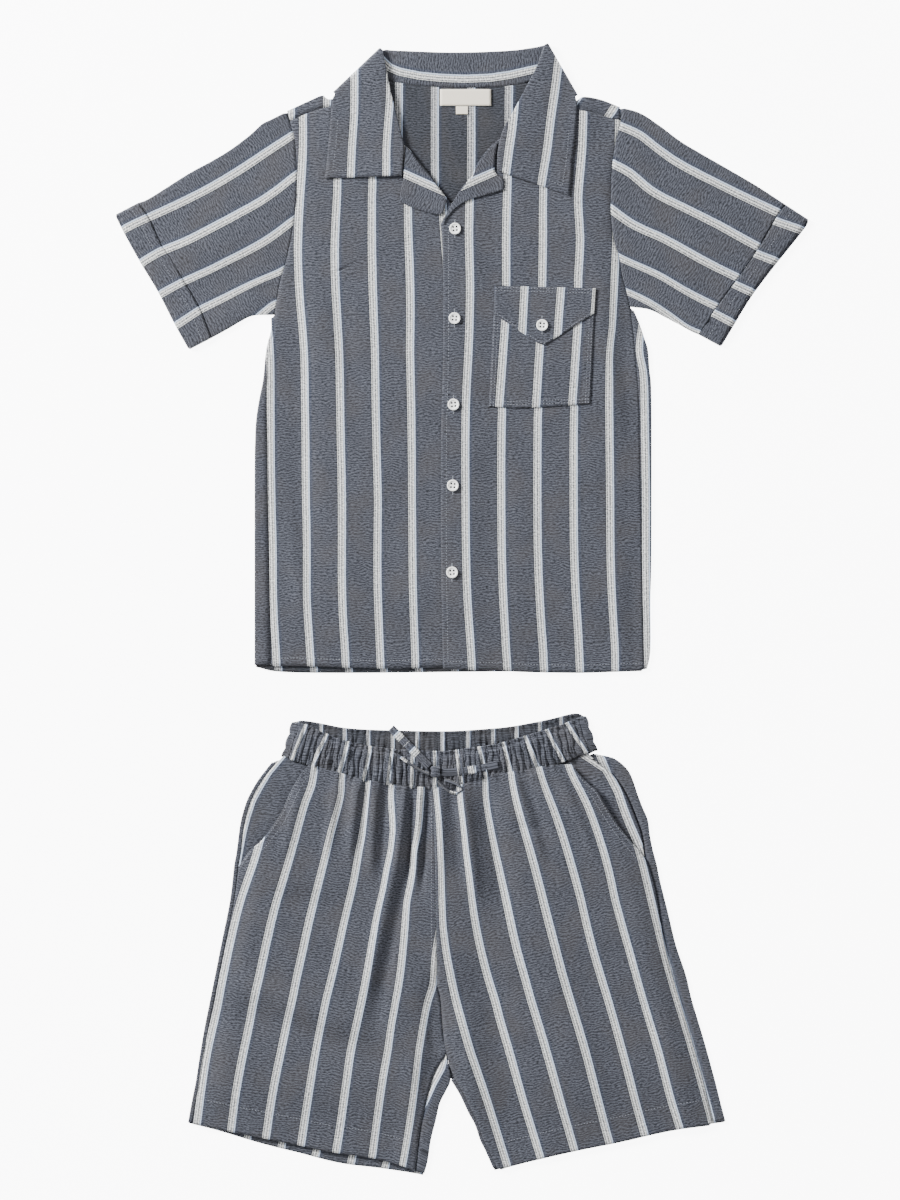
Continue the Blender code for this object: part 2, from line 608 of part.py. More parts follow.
def shirt_fronts():
    side = along(moved(SIDE_SEAM_R, SEAM_GAP / 2), SIDE_STEPS)
    left = np.concatenate([armhole(ARMHOLE_R, SEAM_GAP / 2)[1:], side[1:]])
    right = edge((NECKLINE_R, 3), (ROLL_R, 4), (UNDERLAP_R, 10))
    top = along(moved(SHOULDER_SEAM_R, 0, SEAM_GAP), 7)
    bottom = along(HEM_FRONT_R, 7)
    top[0], top[-1], bottom[0], bottom[-1] = left[0], right[0], left[-1], right[-1]
    panel("shirt_front_right", net_between(top, bottom, left, right), shirt_top_level)
    left = edge((NECKLINE_L, 3), (ROLL_L, 5), (PLACKET_L, 9))
    side = along(moved(SIDE_SEAM_L, -SEAM_GAP / 2), SIDE_STEPS)
    right = np.concatenate([armhole(ARMHOLE_L, -SEAM_GAP / 2)[1:], side[1:]])
    top = along(moved(SHOULDER_SEAM_L, 0, SEAM_GAP), 9)
    bottom = along(HEM_FRONT_L, 9)
    top[0], top[-1], bottom[0], bottom[-1] = left[0], right[0], left[-1], right[-1]
    panel("shirt_front_left", net_between(top, bottom, left, right), shirt_left_level)


def lapels():
    top, bottom = along(LAPEL_TOP_R, 5), along(LAPEL_LOW_R, 5)
    left, right = along(LAPEL_CORNER_R, 3), along([LAPEL_TOP_R[-1], LAPEL_LOW_R[-1]], 3)
    panel("facing_right", net_between(top, bottom, left, right), lapel_level)
    top, bottom = along(LAPEL_TOP_L, 6), along(LAPEL_LOW_L, 6)
    left, right = along([LAPEL_TOP_L[0], LAPEL_LOW_L[0]], 5), along(LAPEL_CORNER_L, 5)
    panel("facing_left", net_between(top, bottom, left, right), lapel_left_level)


def sleeves():
    middle_level = TOP_LEVEL + SLEEVE_RISE

    def sleeve_level(net):
        share = np.linspace(0.0, 1.0, net.shape[1])[None, :]
        start = shirt_top_level(net[:, :1, 0], net[:, :1, 1])
        level = start * (1 - share) + middle_level * share
        return level + folds_height(net[..., 0], net[..., 1], SLEEVE_FOLDS) * ease(0.0, 0.3, share)

    def cuff_level(net):
        return np.full(net.shape[:2], middle_level + (CUFF_CLOTH - CLOTH) / 2 + CUFF_RISE)

    steps_across, steps_along, steps_cuff = 9, 6, 2
    for name, table, top, low, line, outer, out in (
        ("right", ARMHOLE_R, SLEEVE_TOP_R, SLEEVE_LOW_R, CUFF_LINE_R, CUFF_EDGE_R, -1),
        ("left", ARMHOLE_L, SLEEVE_TOP_L, SLEEVE_LOW_L, CUFF_LINE_L, CUFF_EDGE_L, 1),
    ):
        start = armhole(table, out * SEAM_GAP)
        end = along(line, steps_across)
        upper = along(top, steps_along)
        lower = along(low, steps_along)
        upper[0], lower[0], upper[-1], lower[-1] = start[0], start[-1], end[0], end[-1]
        flat_tube(f"sleeve_{name}", upper, lower, start, end, sleeve_level, FLAT_LEVEL, CLOTH)
        begin = along(moved(line, out * SEAM_GAP), steps_across)
        finish = along(outer, steps_across)
        under = finish.mean(axis=0) - begin.mean(axis=0)
        under *= CUFF_UNDER_SHOWS / np.linalg.norm(under)
        finish = finish - under
        upper = along([begin[0], finish[0]], steps_cuff)
        lower = along([begin[-1], finish[-1]], steps_cuff)
        flat_tube(f"cuff_{name}", upper, lower, begin, finish, cuff_level, CUFF_CLOTH / 2, CUFF_CLOTH, under)


def collar():
    """One net from leaf end to leaf end. Its columns are stand, roll, fall, and outer edge."""
    rows = []
    for roll, outer, stand in LEAF_R:
        rows.append(collar_row(roll, outer, stand, leaf_turn=0))
    for step in range(COLLAR_FOLD_STEPS + 1):
        turn = 180 * step / COLLAR_FOLD_STEPS
        rows.append(collar_row(*COLLAR_FOLD_R, leaf_turn=turn, over_edge=True))
    for roll, outer, stand in COLLAR_BACK:
        rows.append(collar_row(roll, outer, stand, leaf_turn=180))
    for step in range(COLLAR_FOLD_STEPS, -1, -1):
        turn = 180 * step / COLLAR_FOLD_STEPS
        rows.append(collar_row(*COLLAR_FOLD_L, leaf_turn=turn, over_edge=True))
    for roll, outer, stand in LEAF_L:
        rows.append(collar_row(roll, outer, stand, leaf_turn=0))
    cloth("collar", np.array(rows), STRIPED_CLOTH)


def collar_row(roll, outer, stand, leaf_turn, over_edge=False):
    """One station of the collar. leaf_turn is 0 on the front leaf, 180 on the fall behind the neck."""
    roll = np.array(roll, float)
    outer = np.array(outer, float)
    if over_edge or leaf_turn == 0:
        towards = (roll - outer) / np.linalg.norm(roll - outer)
    else:
        towards = np.array([0.0, -1.0])
    roll = roll - towards * FOLD_INSET
    shares = np.linspace(0.0, 1.0, FALL_STEPS + 1)
    points = roll + (outer - roll) * shares[:, None]
    on_front = shirt_top_level(points[:, 0], points[:, 1])
    near_roll = 1 - ease(0.15, 0.75, shares)
    leaf = on_front + PLY_RISE + (2 * FOLD_RADIUS) * near_roll
    if over_edge:
        top = TOP_LEVEL + 2 * FOLD_RADIUS + PLY_RISE + 2 * FOLD_RADIUS * near_roll
        radius = (top - FLAT_LEVEL) / 2
        away = np.array([towards[1], -towards[0]])
        if np.dot(away, (roll + outer) / 2 - np.array(COLLAR_MIDDLE)) < 0:
            away = -away
        inset = (radius + CLOTH / 2)[:, None]
        turn = math.radians(leaf_turn)
        flat = points - away * inset + away * (radius * math.sin(turn))[:, None]
        height = FLAT_LEVEL + radius + radius * math.cos(turn)
        inner = np.array([*(-away * math.sin(turn)), -math.cos(turn)])
    else:
        flat = points
        height = leaf if leaf_turn == 0 else np.full(len(points), FLAT_LEVEL)
        inner = np.array([0.0, 0.0, -1.0 if leaf_turn == 0 else 1.0])
    fall = np.concatenate([flat, height[:, None]], axis=1)
    start = fall[0]
    lengthwise = np.array([*towards, 0.0])
    row = []
    depth = stand - FOLD_INSET - SEAM_GAP / 2
    for share in np.linspace(1.0, 0.0, STAND_STEPS + 1)[:-1]:
        row.append(start + inner * 2 * FOLD_RADIUS - lengthwise * depth * share)
    for turn in ROLL_TURNS:
        angle = math.radians(turn)
        reach, lean = math.sin(angle), math.cos(angle)
        row.append(start + (inner * (1 - lean) + lengthwise * reach) * FOLD_RADIUS)
    row.extend(fall)
    return row


def pocket_and_flap():
    top = along([POCKET_LEFT[0], POCKET_RIGHT[0]], 5)
    net = net_between(top, along(POCKET_LOW, 5), along(POCKET_LEFT, 5), along(POCKET_RIGHT, 5))
    panel("chest_pocket", net, pocket_level)
    top, bottom = along(FLAP_TOP, 6), along(FLAP_LOW, 6)
    net = net_between(top, bottom, along(FLAP_LEFT, 3), along(FLAP_RIGHT, 3))
    net[-1, 3] = FLAP_LOW[2]
    panel("pocket_flap", net, flap_level)


def button(name, middle, seat):
    """A turned disc with a raised rim and four holes, on the height of its seat."""
    r, h = BUTTON_RADIUS, BUTTON_THICK
    profile = [(out * r, up * h) for out, up in BUTTON_PROFILE]
    shape = bmesh.new()
    verts = [shape.verts.new((x * MM, 0.0, z * MM)) for x, z in profile]
    for start, end in zip(verts, verts[1:]):
        shape.edges.new((start, end))
    mesh = bpy.data.meshes.new(name)
    shape.to_mesh(mesh)
    shape.free()
    made = new_object(name, mesh, SET)
    turn = made.modifiers.new("Turned", "SCREW")
    turn.steps = BUTTON_STEPS
    turn.render_steps = BUTTON_STEPS
    turn.use_merge_vertices = True
    turn.merge_threshold = 0.00001
    turn.use_smooth_shade = True
    for index in range(4):
        angle = math.radians(45 + 90 * index)
        radius = BUTTON_HOLE_RADIUS * MM
        bpy.ops.mesh.primitive_cylinder_add(vertices=6, radius=radius, depth=3 * h * MM)
        drill = bpy.context.active_object
        drill.name = f"{name}_drill_{index + 1}"
        move_to(drill, HELPERS)
        out = BUTTON_HOLE_OUT
        x, y, z = place(middle[0] + out * math.cos(angle), middle[1] + out * math.sin(angle), seat)
        drill.location = (x, y, z)
        drill.hide_render = True
        drill.display_type = "WIRE"
        hole = made.modifiers.new(f"Hole {index + 1}", "BOOLEAN")
        hole.operation = "DIFFERENCE"
        hole.solver = "EXACT"
        hole.object = drill
    made.location = place(middle[0], middle[1], seat)
    made.data.materials.append(BUTTON_PLASTIC)


def buttons():
    for index, (across, down) in enumerate(BUTTONS):
        seat = seat_height(shirt_left_level, across, down)
        button(f"button_{index + 1}", (across, down), seat)
    button("flap_button", FLAP_BUTTON, seat_height(flap_level, *FLAP_BUTTON))


def seat_height(level, across, down):
    """Just above the highest cloth under a button."""
    around = [(across + BUTTON_RADIUS * math.cos(a), down + BUTTON_RADIUS * math.sin(a))
              for a in np.linspace(0, 2 * math.pi, 13)] + [(across, down)]
    highest = max(float(level(np.array(x), np.array(y))) for x, y in around)
    return highest + CLOTH / 2 + BUTTON_GAP


def labels():
    rise = CLOTH / 2 + BUTTON_GAP + LABEL_THICK / 2

    def label_level(across, down):
        return shirt_back_level(across, down) + rise

    for name, ((x0, y0), (x1, y1)) in (("neck_label", LABEL), ("size_tab", TAB)):
        corners = [(x0, y0), (x1, y0), (x0, y1), (x1, y1)]
        net = net_between(along(corners[:2], 3), along(corners[2:], 3),
                          along([corners[0], corners[2]], 1), along([corners[1], corners[3]], 1))
        panel(name, net, label_level, LABEL_CLOTH, LABEL_THICK)


# Shorts

def leg_backs():
    left = along(moved(LEG_EDGE_R, FOLD_INSET), LEG_STEPS)
    left[0] = BACK_WAIST_R[0]
    left[-1] = HEM_BACK_LEG_R[0]
    crotch = moved(CROTCH_R[3:], -FOLD_INSET)
    right = edge((BACK_CENTRE_R, BACK_CENTRE_STEPS), (crotch, INSEAM_STEPS_L))
    top, bottom = along(BACK_WAIST_R, BACK_ACROSS_STEPS), along(HEM_BACK_LEG_R, BACK_ACROSS_STEPS)
    right[0], right[-1] = top[-1], bottom[-1]
    bottom[0] = left[-1]
    back = panel("shorts_back_right", net_between(top, bottom, left, right), flat_level)
    side = along(LEG_EDGE_R[1:], LEG_STEPS)
    seam = side + [LEG_SEAM_STEP_R, 0.0]
    join(back, turned_edge("turned_leg_side_right", side, seam, side_seam_level, flat_level))
    crotch, seam = along(CROTCH_R, INSEAM_STEPS_R), along(INSEAM_R[1:], INSEAM_STEPS_R)
    join(back, turned_edge("turned_inseam_right", crotch, seam, inseam_level, flat_level))

    inseam = moved(INSEAM_EDGE_L, FOLD_INSET)
    left = edge((BACK_CENTRE_L, BACK_CENTRE_STEPS), (inseam, INSEAM_STEPS_L))
    right = along(moved(LEG_EDGE_L, -FOLD_INSET), LEG_STEPS)
    top, bottom = along(BACK_WAIST_L, BACK_ACROSS_STEPS), along(HEM_BACK_LEG_L, BACK_ACROSS_STEPS)
    left[0], right[0] = top[0], top[-1]
    left[-1], right[-1] = bottom[0], bottom[-1]
    back = panel("shorts_back_left", net_between(top, bottom, left, right), flat_level)
    side, seam = along(LEG_EDGE_L[1:], LEG_STEPS), along(LEG_SEAM_L, LEG_STEPS)
    join(back, turned_edge("turned_leg_side_left", side, seam, side_seam_level, flat_level))
    inseam, seam = along(INSEAM_EDGE_L, INSEAM_STEPS_L), along(INSEAM_SEAM_L, INSEAM_STEPS_L)
    join(back, turned_edge("turned_inseam_left", inseam, seam, inseam_level, flat_level))


def side_seam_level(across, down):
    return np.full_like(across, TOP_LEVEL)


def inseam_level(across, down):
    return np.full_like(across, TOP_LEVEL + INSEAM_RISE)


def leg_fronts():
    side_r = [point for point in moved(LEG_EDGE_R, LEG_SEAM_STEP_R) if point[1] > OPENING_R[-1][1]]
    left = edge((OPENING_R, OPENING_STEPS), (moved(side_r, SEAM_GAP), LEG_LOW_STEPS))
    left[-1] = HEM_FRONT_LEG_R[0]
    inseam = moved(INSEAM_R, -SEAM_GAP)
    right = edge((moved(CENTRE, -SEAM_GAP / 2), CENTRE_STEPS), (inseam[:2], 1), (inseam[1:], INSEAM_STEPS_R))
    top = along(WAIST_R, LEG_ACROSS_STEPS)
    bottom = along(HEM_FRONT_LEG_R, LEG_ACROSS_STEPS)
    top[-1] = right[0]
    bottom[0], bottom[-1] = left[-1], right[-1]
    panel("shorts_front_right", net_between(top, bottom, left, right), shorts_top_level)

    crotch, inseam = moved(CROTCH_L, SEAM_GAP / 2), moved(INSEAM_SEAM_L, SEAM_GAP)
    centre = moved(CENTRE, SEAM_GAP / 2)
    left = edge((centre, CENTRE_STEPS), (crotch, len(crotch)), (inseam, INSEAM_STEPS_L))
    left[-1] = HEM_LEG_L[0]
    seam = [point for point in LEG_SEAM_L if point[1] > OPENING_L[-1][1]]
    right = edge((OPENING_L, OPENING_STEPS), ([OPENING_L[-1]] + moved(seam, -SEAM_GAP), LEG_LOW_STEPS))
    top = along(WAIST_L, LEG_ACROSS_STEPS)
    bottom = along(HEM_LEG_L, LEG_ACROSS_STEPS)
    top[0], top[-1], bottom[0], bottom[-1] = left[0], right[0], left[-1], right[-1]
    panel("shorts_front_left", net_between(top, bottom, left, right), shorts_top_level)


def pocket_facings():
    outer_r = [FACING_CORNER_R] + [point for point in moved(LEG_EDGE_R, LEG_SEAM_STEP_R + SEAM_GAP)
                                   if LEG_EDGE_R[1][1] < point[1] < FACING_SIDE_END]
    outer_l = [point for point in moved(LEG_SEAM_L, -FACING_STEP) if point[1] < FACING_SIDE_END]
    for name, left, right in (("right", outer_r, FACING_HIDDEN_R), ("left", FACING_HIDDEN_L, outer_l)):
        left, right = along(left, FACING_STEPS), along(right, FACING_STEPS)
        net = net_between(along([left[0], right[0]], 2), along([left[-1], right[-1]], 2), left, right)
        panel(f"pocket_facing_{name}", net, facing_level)


def waistband():
    """A ring of cloth with gathers raised on the faces that look up, plain on the other faces."""
    front = GATHERS * FRONT_STEPS_PER_GATHER
    back = GATHERS * BACK_STEPS_PER_GATHER
    rise = np.array(BAND_CROWN_SHARES) * BAND_CROWN
    shares = np.linspace(0.0, 1.0, len(rise))[:, None]
    outer, inner = [], []
    top_line, low_line = along(BAND_TOP_FRONT, front), along(BAND_LOW_FRONT, front)
    for index in range(front + 1):
        line = top_line[index] * (1 - shares) + low_line[index] * shares
        wave = GATHER_HEIGHT * (0.5 - 0.5 * math.cos(2 * math.pi * index / FRONT_STEPS_PER_GATHER))
        outer.append([(*point, BAND_FRONT_TOP + wave + crown) for point, crown in zip(line, rise)])
        inner.append([(*point, BAND_FRONT_UNDER) for point in line])
    back_top, back_low = along(BAND_TOP_BACK, back), along(BAND_LOW_BACK, back)
    add_band_fold(outer, inner, top_line[-1], low_line[-1], 1.0)
    for index in range(back, -1, -1):
        line = back_top[index] * (1 - shares) + back_low[index] * shares
        wave = GATHER_HEIGHT * (index % BACK_STEPS_PER_GATHER)
        inner.append([(*point, BAND_BACK_TOP + wave) for point in line])
        outer.append([(*point, 0.0) for point in line])
    add_band_fold(outer, inner, top_line[0], low_line[0], -1.0)
    outer, inner = np.array(outer), np.array(inner)
    ring_wall("waistband", outer, inner)


def add_band_fold(outer, inner, top_point, low_point, side):
    """The turn at one end of the band, from the front down to the back or up again."""
    along_band = np.array([side, 0.0])
    shares = np.linspace(0.0, 1.0, 3)[:, None]
    line = top_point * (1 - shares) + low_point * shares
    turns = (45, 90, 135) if side > 0 else (135, 90, 45)
    half_outer = BAND_FRONT_TOP / 2
    half_inner = (BAND_FRONT_UNDER - BAND_BACK_TOP) / 2
    for turn in turns:
        reach, lean = math.sin(math.radians(turn)), math.cos(math.radians(turn))
        outside, inside = along_band * BAND_FOLD_REACH * reach, along_band * half_inner * reach
        outer.append([(*(point + outside), half_outer * (1 + lean)) for point in line])
        inner.append([(*(point + inside), BAND_BACK_TOP + half_inner * (1 + lean)) for point in line])


def ring_wall(name, outer, inner):
    """A closed ring between two unlike nets, both ordered station by station."""
    stations, columns = outer.shape[:2]
    shape = bmesh.new()
    out, inn = [[[shape.verts.new(place(*point)) for point in row] for row in net] for net in (outer, inner)]
    for station in range(stations):
        after = (station + 1) % stations
        for here in range(columns - 1):
            for side in (out, inn):
                near, far = side[station], side[after]
                shape.faces.new((near[here], near[here + 1], far[here + 1], far[here]))
        for rim in (0, columns - 1):
            shape.faces.new((out[station][rim], out[after][rim], inn[after][rim], inn[station][rim]))
    bmesh.ops.recalc_face_normals(shape, faces=shape.faces)
    mesh = bpy.data.meshes.new(name)
    shape.to_mesh(mesh)
    shape.free()
    mesh.shade_smooth()
    made = new_object(name, mesh, SET)
    made.data.materials.append(STRIPED_CLOTH)


def ribbon(name, route, width, thickness, tilt=0.0, steps=TIE_STEPS):
    """A flat tie along a route; tilt stands it up from lying flat, in degrees."""
    line = along(route, steps)
    run = np.gradient(line[:, :2], axis=0)
    run /= np.linalg.norm(run, axis=1)[:, None]
    lean = math.radians(tilt)
    half = np.concatenate([np.stack([run[:, 1], -run[:, 0]], axis=1) * math.cos(lean),
                           np.full((len(line), 1), math.sin(lean))], axis=1) * width / 2
    cloth(name, np.stack([line + half, line, line - half], axis=1), STRIPED_CLOTH, thickness)


def drawstring():
    ribbon("tie_end_right", TIE_END_R, TIE_WIDTH, TIE_THICK)
    ribbon("tie_end_left", TIE_END_L, TIE_WIDTH, TIE_THICK)
    ribbon("tie_loop_right", TIE_LOOP_R, TIE_LOOP_WIDTH, TIE_THICK, TIE_LOOP_TILT)
    ribbon("tie_loop_left", TIE_LOOP_L, TIE_LOOP_WIDTH, TIE_THICK, TIE_LOOP_TILT, TIE_LOOP_STEPS_L)
    bpy.ops.mesh.primitive_cube_add(size=1.0, location=place(*KNOT_MIDDLE, 0.0))
    knot = bpy.context.active_object
    knot.name = "tie_knot"
    move_to(knot, SET)
    for vert in knot.data.vertices:
        vert.co = [side * length * MM for side, length in zip(vert.co, KNOT_SIZE)]
    knot.location.z = (BAND_FRONT_TOP + GATHER_HEIGHT + BAND_CROWN + BUTTON_GAP + KNOT_SIZE[2] / 2) * MM
    rounding = knot.modifiers.new("Rounded", "BEVEL")
    rounding.width = KNOT_ROUNDING * MM
    rounding.segments = 2
    knot.data.materials.append(STRIPED_CLOTH)


for old in list(bpy.data.objects):
    bpy.data.objects.remove(old)

SET = bpy.data.collections.new("Shirt and shorts set")
HELPERS = bpy.data.collections.new("Helpers")
bpy.context.scene.collection.children.link(SET)
bpy.context.scene.collection.children.link(HELPERS)
STRIPED_CLOTH = material("Striped chambray", (0.115, 0.13, 0.16), 0.85)
LABEL_CLOTH = material("Ivory label", (0.82, 0.79, 0.7), 0.7)
BUTTON_PLASTIC = material("White button", (0.82, 0.82, 0.8), 0.25)

shirt_back()
shirt_fronts()
lapels()
sleeves()
collar()
pocket_and_flap()
buttons()
labels()
leg_backs()
leg_fronts()
pocket_facings()
waistband()
drawstring()
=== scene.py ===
import math

import bmesh
import bpy
import numpy as np
from mathutils import Matrix, Vector


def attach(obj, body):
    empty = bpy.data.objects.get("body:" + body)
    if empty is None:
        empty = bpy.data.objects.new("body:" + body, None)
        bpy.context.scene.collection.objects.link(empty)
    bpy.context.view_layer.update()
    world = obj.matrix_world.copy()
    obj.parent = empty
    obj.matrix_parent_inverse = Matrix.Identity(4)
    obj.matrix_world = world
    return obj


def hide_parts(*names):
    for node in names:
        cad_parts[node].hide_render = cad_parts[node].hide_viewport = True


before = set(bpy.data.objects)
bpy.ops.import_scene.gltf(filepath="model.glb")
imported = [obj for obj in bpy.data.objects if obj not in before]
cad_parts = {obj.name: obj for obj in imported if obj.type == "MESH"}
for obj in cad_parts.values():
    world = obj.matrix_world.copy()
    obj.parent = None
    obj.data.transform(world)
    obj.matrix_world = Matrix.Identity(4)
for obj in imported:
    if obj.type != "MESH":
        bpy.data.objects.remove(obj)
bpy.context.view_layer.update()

bl_info = {
    "name": "Striped shirt and shorts set",
    "version": (1, 0, 0),
    "blender": (4, 5, 0),
    "location": "3D View > Sidebar > Shirt and shorts",
    "description": "A child's striped camp shirt and drawstring shorts, laid flat",
    "category": "Object",
}


def chain(text):
    """Points, written as numbers with commas in them and spaces between them."""
    return [tuple(float(value) for value in point.split(",")) for point in text.split()]


def stripes(first, *lines):
    """Chains of points by their count, which goes up by one from first."""
    return {first + index: chain(line) for index, line in enumerate(lines)}


def table(text):
    """Rows of points and plain numbers."""
    return [tuple(chain(item)[0] if "," in item else float(item) for item in row.split())
            for row in text.strip().splitlines()]


# Tables are in millimetres on the cutting table, across from its left edge and down from its top
# edge. Heights above the table are in millimetres too. Right and left are the wearer's.

MM = 0.001
LAYOUT_MIDDLE = (462.0, 609.25)

# Cloth
CLOTH = 1.2
CUFF_CLOTH = 2.0
SEAM_GAP = 0.4
PLY_RISE = 1.7
FOLD_RADIUS = 0.9
FLAT_LEVEL = CLOTH / 2
TOP_LEVEL = FLAT_LEVEL + 2 * FOLD_RADIUS
FOLD_INSET = FOLD_RADIUS + CLOTH / 2
LIP = 6.0

# Buttons, 18 ligne
BUTTON_RADIUS = 5.75
BUTTON_THICK = 2.3
BUTTON_HOLE_RADIUS = 1.05
BUTTON_HOLE_OUT = 2.4
BUTTON_GAP = 0.3
BUTTON_SIDES = 40
BUTTON_INSETS = (0.24, 0.12)
BUTTON_DISH = 0.34
BUTTON_RIM = 0.45
BUTTON_CLEAR = 0.15
# Length and thickness of the spindle of thread that fills each hole; the thread is real, and its near-black
# colour is painted shade in the holes
THREAD_AND_SHADE_IN_HOLE = (3.4, 3.2)
THREAD_LEVEL = 0.3

# Waistband
GATHERS = 53
GATHER_HEIGHT = 1.2
BAND_FRONT_TOP = 4.4
BAND_CROWN = 1.0
BAND_FOLD_REACH = 1.8

# Drawstring
TIE_WIDTH = 8.0
TIE_CROWN = 0.35
TIE_FINE = 48
TIE_ACROSS = 5
BLOCK_REACH = 16

# Shirt seams and edges, from top to bottom
SHOULDER_EDGE_R = chain("287,111 310,100.5 323,95.5 333,99 381,80")
SHOULDER_SEAM_R = chain("290,121 310,112.5 323,108.5 333,106 380,92")
SHOULDER_EDGE_L = chain("532,84 560,95 574,101.5 583,97 600,99.5 620,107")
SHOULDER_SEAM_L = chain("535,99 556,104 574,109 583,111 595,114 621,121")
ARMHOLE_R = chain("287,113 290,122 295,140 297,165 297,195 295,215 291,240 286,262 280,283 274.5,315")
ARMHOLE_L = chain("621,109 621,121 617,135 614,150 611,180 611,220 615,245 619,256 622,275 626,290 630,307")
SIDE_EDGE_R = chain("271,318 271,330 267,345 265,360 263,380 259,400 256,420 255,440 254.5,480 254.5,665")
SIDE_SEAM_R = chain("274.5,315 274,330 270.5,345 268.5,360 267.5,380 267,400 268,450 269,520 270,580 "
                    "271.5,665")
SIDE_EDGE_L = chain("633.8,310.5 640,325 645,340 648,350 649.5,370 651.5,400 651.5,550 650.5,600 650.5,650 "
                    "647,669")
SIDE_SEAM_L = chain("630,307 633,330 635,350 639,400 640,450 641,500 642,550 642.6,600 643.5,650 643.5,669")
NECK_SEAM = chain("381,78 388,80 393,82 420,86 450,88 490,88 510,86 525,84 532,82.5")
NECKLINE_R = chain("380,92 385,101 391,113 396,128 402,144")
NECKLINE_L = chain("535,99 524,111 512,125 501,138")
ROLL_R = chain("402,144 410,150 420,163 430,175 437,185 445,196 451,204")
ROLL_L = chain("501,138 490,147 482,157 475,168 472,176 462,188 452,204 447,213 441,224")
PLACKET_L = chain("441,224 442.5,250 443,350 441,440 441,560 442.5,650 443,668")
UNDERLAP_R = chain("451,204 460,218 464.5,230 464.5,664.5")
HEM_FRONT_R = chain("271.5,666.5 300,666 340,667.5 380,668.5 420,668 464.5,666")
HEM_FRONT_L = chain("443,669 487,670.5 500,670 520,672 577,673 613,672 643.5,671")
HEM_BACK = chain("256,667 282,672 350,673 452,672 560,671 620,670.5 649,669")

# Sleeves: upper edge from the shoulder out, lower edge from the underarm out, cuff line down
SLEEVE_TOP_R = chain("286,112 270,120 262,124 250,135 230,150 210,162 188,174 150,198 138,203")
SLEEVE_LOW_R = chain("274,315 253,316 240,322 230,328 211,338.5")
CUFF_LINE_R = chain("138,203 149,219 160,243 170,257 180,275 190,292 200,310 211,338.5")
CUFF_EDGE_R = chain("115,215 125,235 140,262 158,292 175,325 189,350")
SLEEVE_TOP_L = chain("621,107.5 640,113 660,126 680,141 700,153 740,176 760,188 786,205")
SLEEVE_LOW_L = chain("630.5,307 650,310 668,319 690,331 699,335")
CUFF_LINE_L = chain("786,205 778,215 759,248 739,277 717,307 699,335")
CUFF_EDGE_L = chain("809,220 805,228 790,247 770,272 750,299 733,327 721,347")
CUFF_UNDER_SHOWS = 3.0

# Lapels turned out of the front facings
LAPEL_TOP_R = chain("405.5,146 411,152 420,164.5 430,176.5 437,186.5 445,197.5 447,201")
LAPEL_LOW_R = chain("399.5,202 403,203.5 410,207 425,212 438,215 443,213")
LAPEL_CORNER_R = chain("405.5,146 404.5,160 403.5,178 401,190 399.5,202")
LAPEL_TOP_L = chain("442.5,222 448,212.5 453,203.5 463,188.5 473,177 476,169 483,158 491,148.5 498.3,142")
LAPEL_LOW_L = chain("443,224 447,218 452,211.5 458,206.5 466,201.5 480,197 495,193 504,190")
LAPEL_CORNER_L = chain("498.3,142 496.2,150 495,160 494.5,170 497,175 503.5,178.5 504,190")

# Collar: stations from the right leaf's end, round the back, to the left leaf's end.
# Columns: roll point, outer edge point, depth of the stand under the roll
LEAF_R = table("""
    402,176 325,179 4
    403.5,160 327,160 5
    404,145 328.5,143 6
    400,128 330,127 7
    396,112 331,114 8
    391,92 332,104 9
    387,72 333,98 9
""")
COLLAR_FOLD_R = ((380, 47.5), (333, 92), 9)
COLLAR_BACK = table("""
    386,49.5 338,96 26.5
    393,50.2 346,101 31.5
    406,50.8 362,108 33.5
    428,51.7 400,115 34.8
    450,52.3 450,118 35.5
    475,52 500,117 35.8
    500,51 532,112.5 36
    517,49.8 552,107.5 35.2
    528,48.2 564,103 34.5
    537,46.8 571,100 29
""")
COLLAR_FOLD_L = ((548, 43), (578, 95), 9)
LEAF_L = table("""
    537,66 577,104 9
    525,89 576.5,114 9
    514,110 575.5,128 8
    503,130 574,145 7
    498,148 572,162 6
    497,160 571,178 5
    497,171 569,196 4
""")
COLLAR_FALL_DEPTH = 118
COLLAR_MIDDLE = (455.0, 130.0)

# Chest pocket, flap, labels and buttons
POCKET_LEFT = chain("494.6,291 488.6,407")
POCKET_RIGHT = chain("595.4,292 590,404")
POCKET_LOW = chain("488.6,407 530,408 590,404")
FLAP_TOP = chain("494.4,286 595.6,288.6")
FLAP_LEFT = chain("494.4,286 495,315")
FLAP_RIGHT = chain("595.6,288.6 594,313.7")
FLAP_LOW = chain("495,315 537,343 544.5,345.5 550,342 594,313.7")
BUTTONS = chain("455,229 454.5,318.5 453.5,404.7 452.8,485.6 452.1,572.4")
FLAP_BUTTON = (542, 325.4)
LABEL = chain("440,89.5 491,106")
TAB = chain("456,106.6 468,114.5")
LABEL_THICK = 1.0

# Shorts edges and seams, from top to bottom
LEG_EDGE_R = chain("281,757 272,762 264,772 258,780 252,790 247,800 243,812 240,825 238,840 236,855 "
                   "234,866 230,900 222,940 216,970 210,1000 204,1030 199,1060 196,1080 192,1100 188,1122")
LEG_SEAM_STEP_R = 4.5
LEG_EDGE_L = chain("600,750 612,757 620,762 628,770 633,780 638,795 643,808 648,820 650,835 653,850 "
                   "657,865 660,880 668,912 676,945 686,975 692,1000 704,1040 715,1080 720,1100 "
                   "725.5,1121")
LEG_SEAM_L = chain("590,759 600,763 612,772 622,785 630,800 638,820 643,835 647,862 655,890 665,950 "
                   "680,1000 690,1035 700,1070 712,1121")
OPENING_R = chain("309,767 300,775 290,793 280,815 262,840 252,848 245,857 238.7,867")
OPENING_L = chain("572,767 580,775 590,785 597,791 605,805 620,828 640,852 647,862")
FACING_HIDDEN_R = chain("320,770.5 311,790 298,818 280,845 264,864 252,884")
FACING_HIDDEN_L = chain("560,770 573,792 590,815 608,840 626,862 640,884")
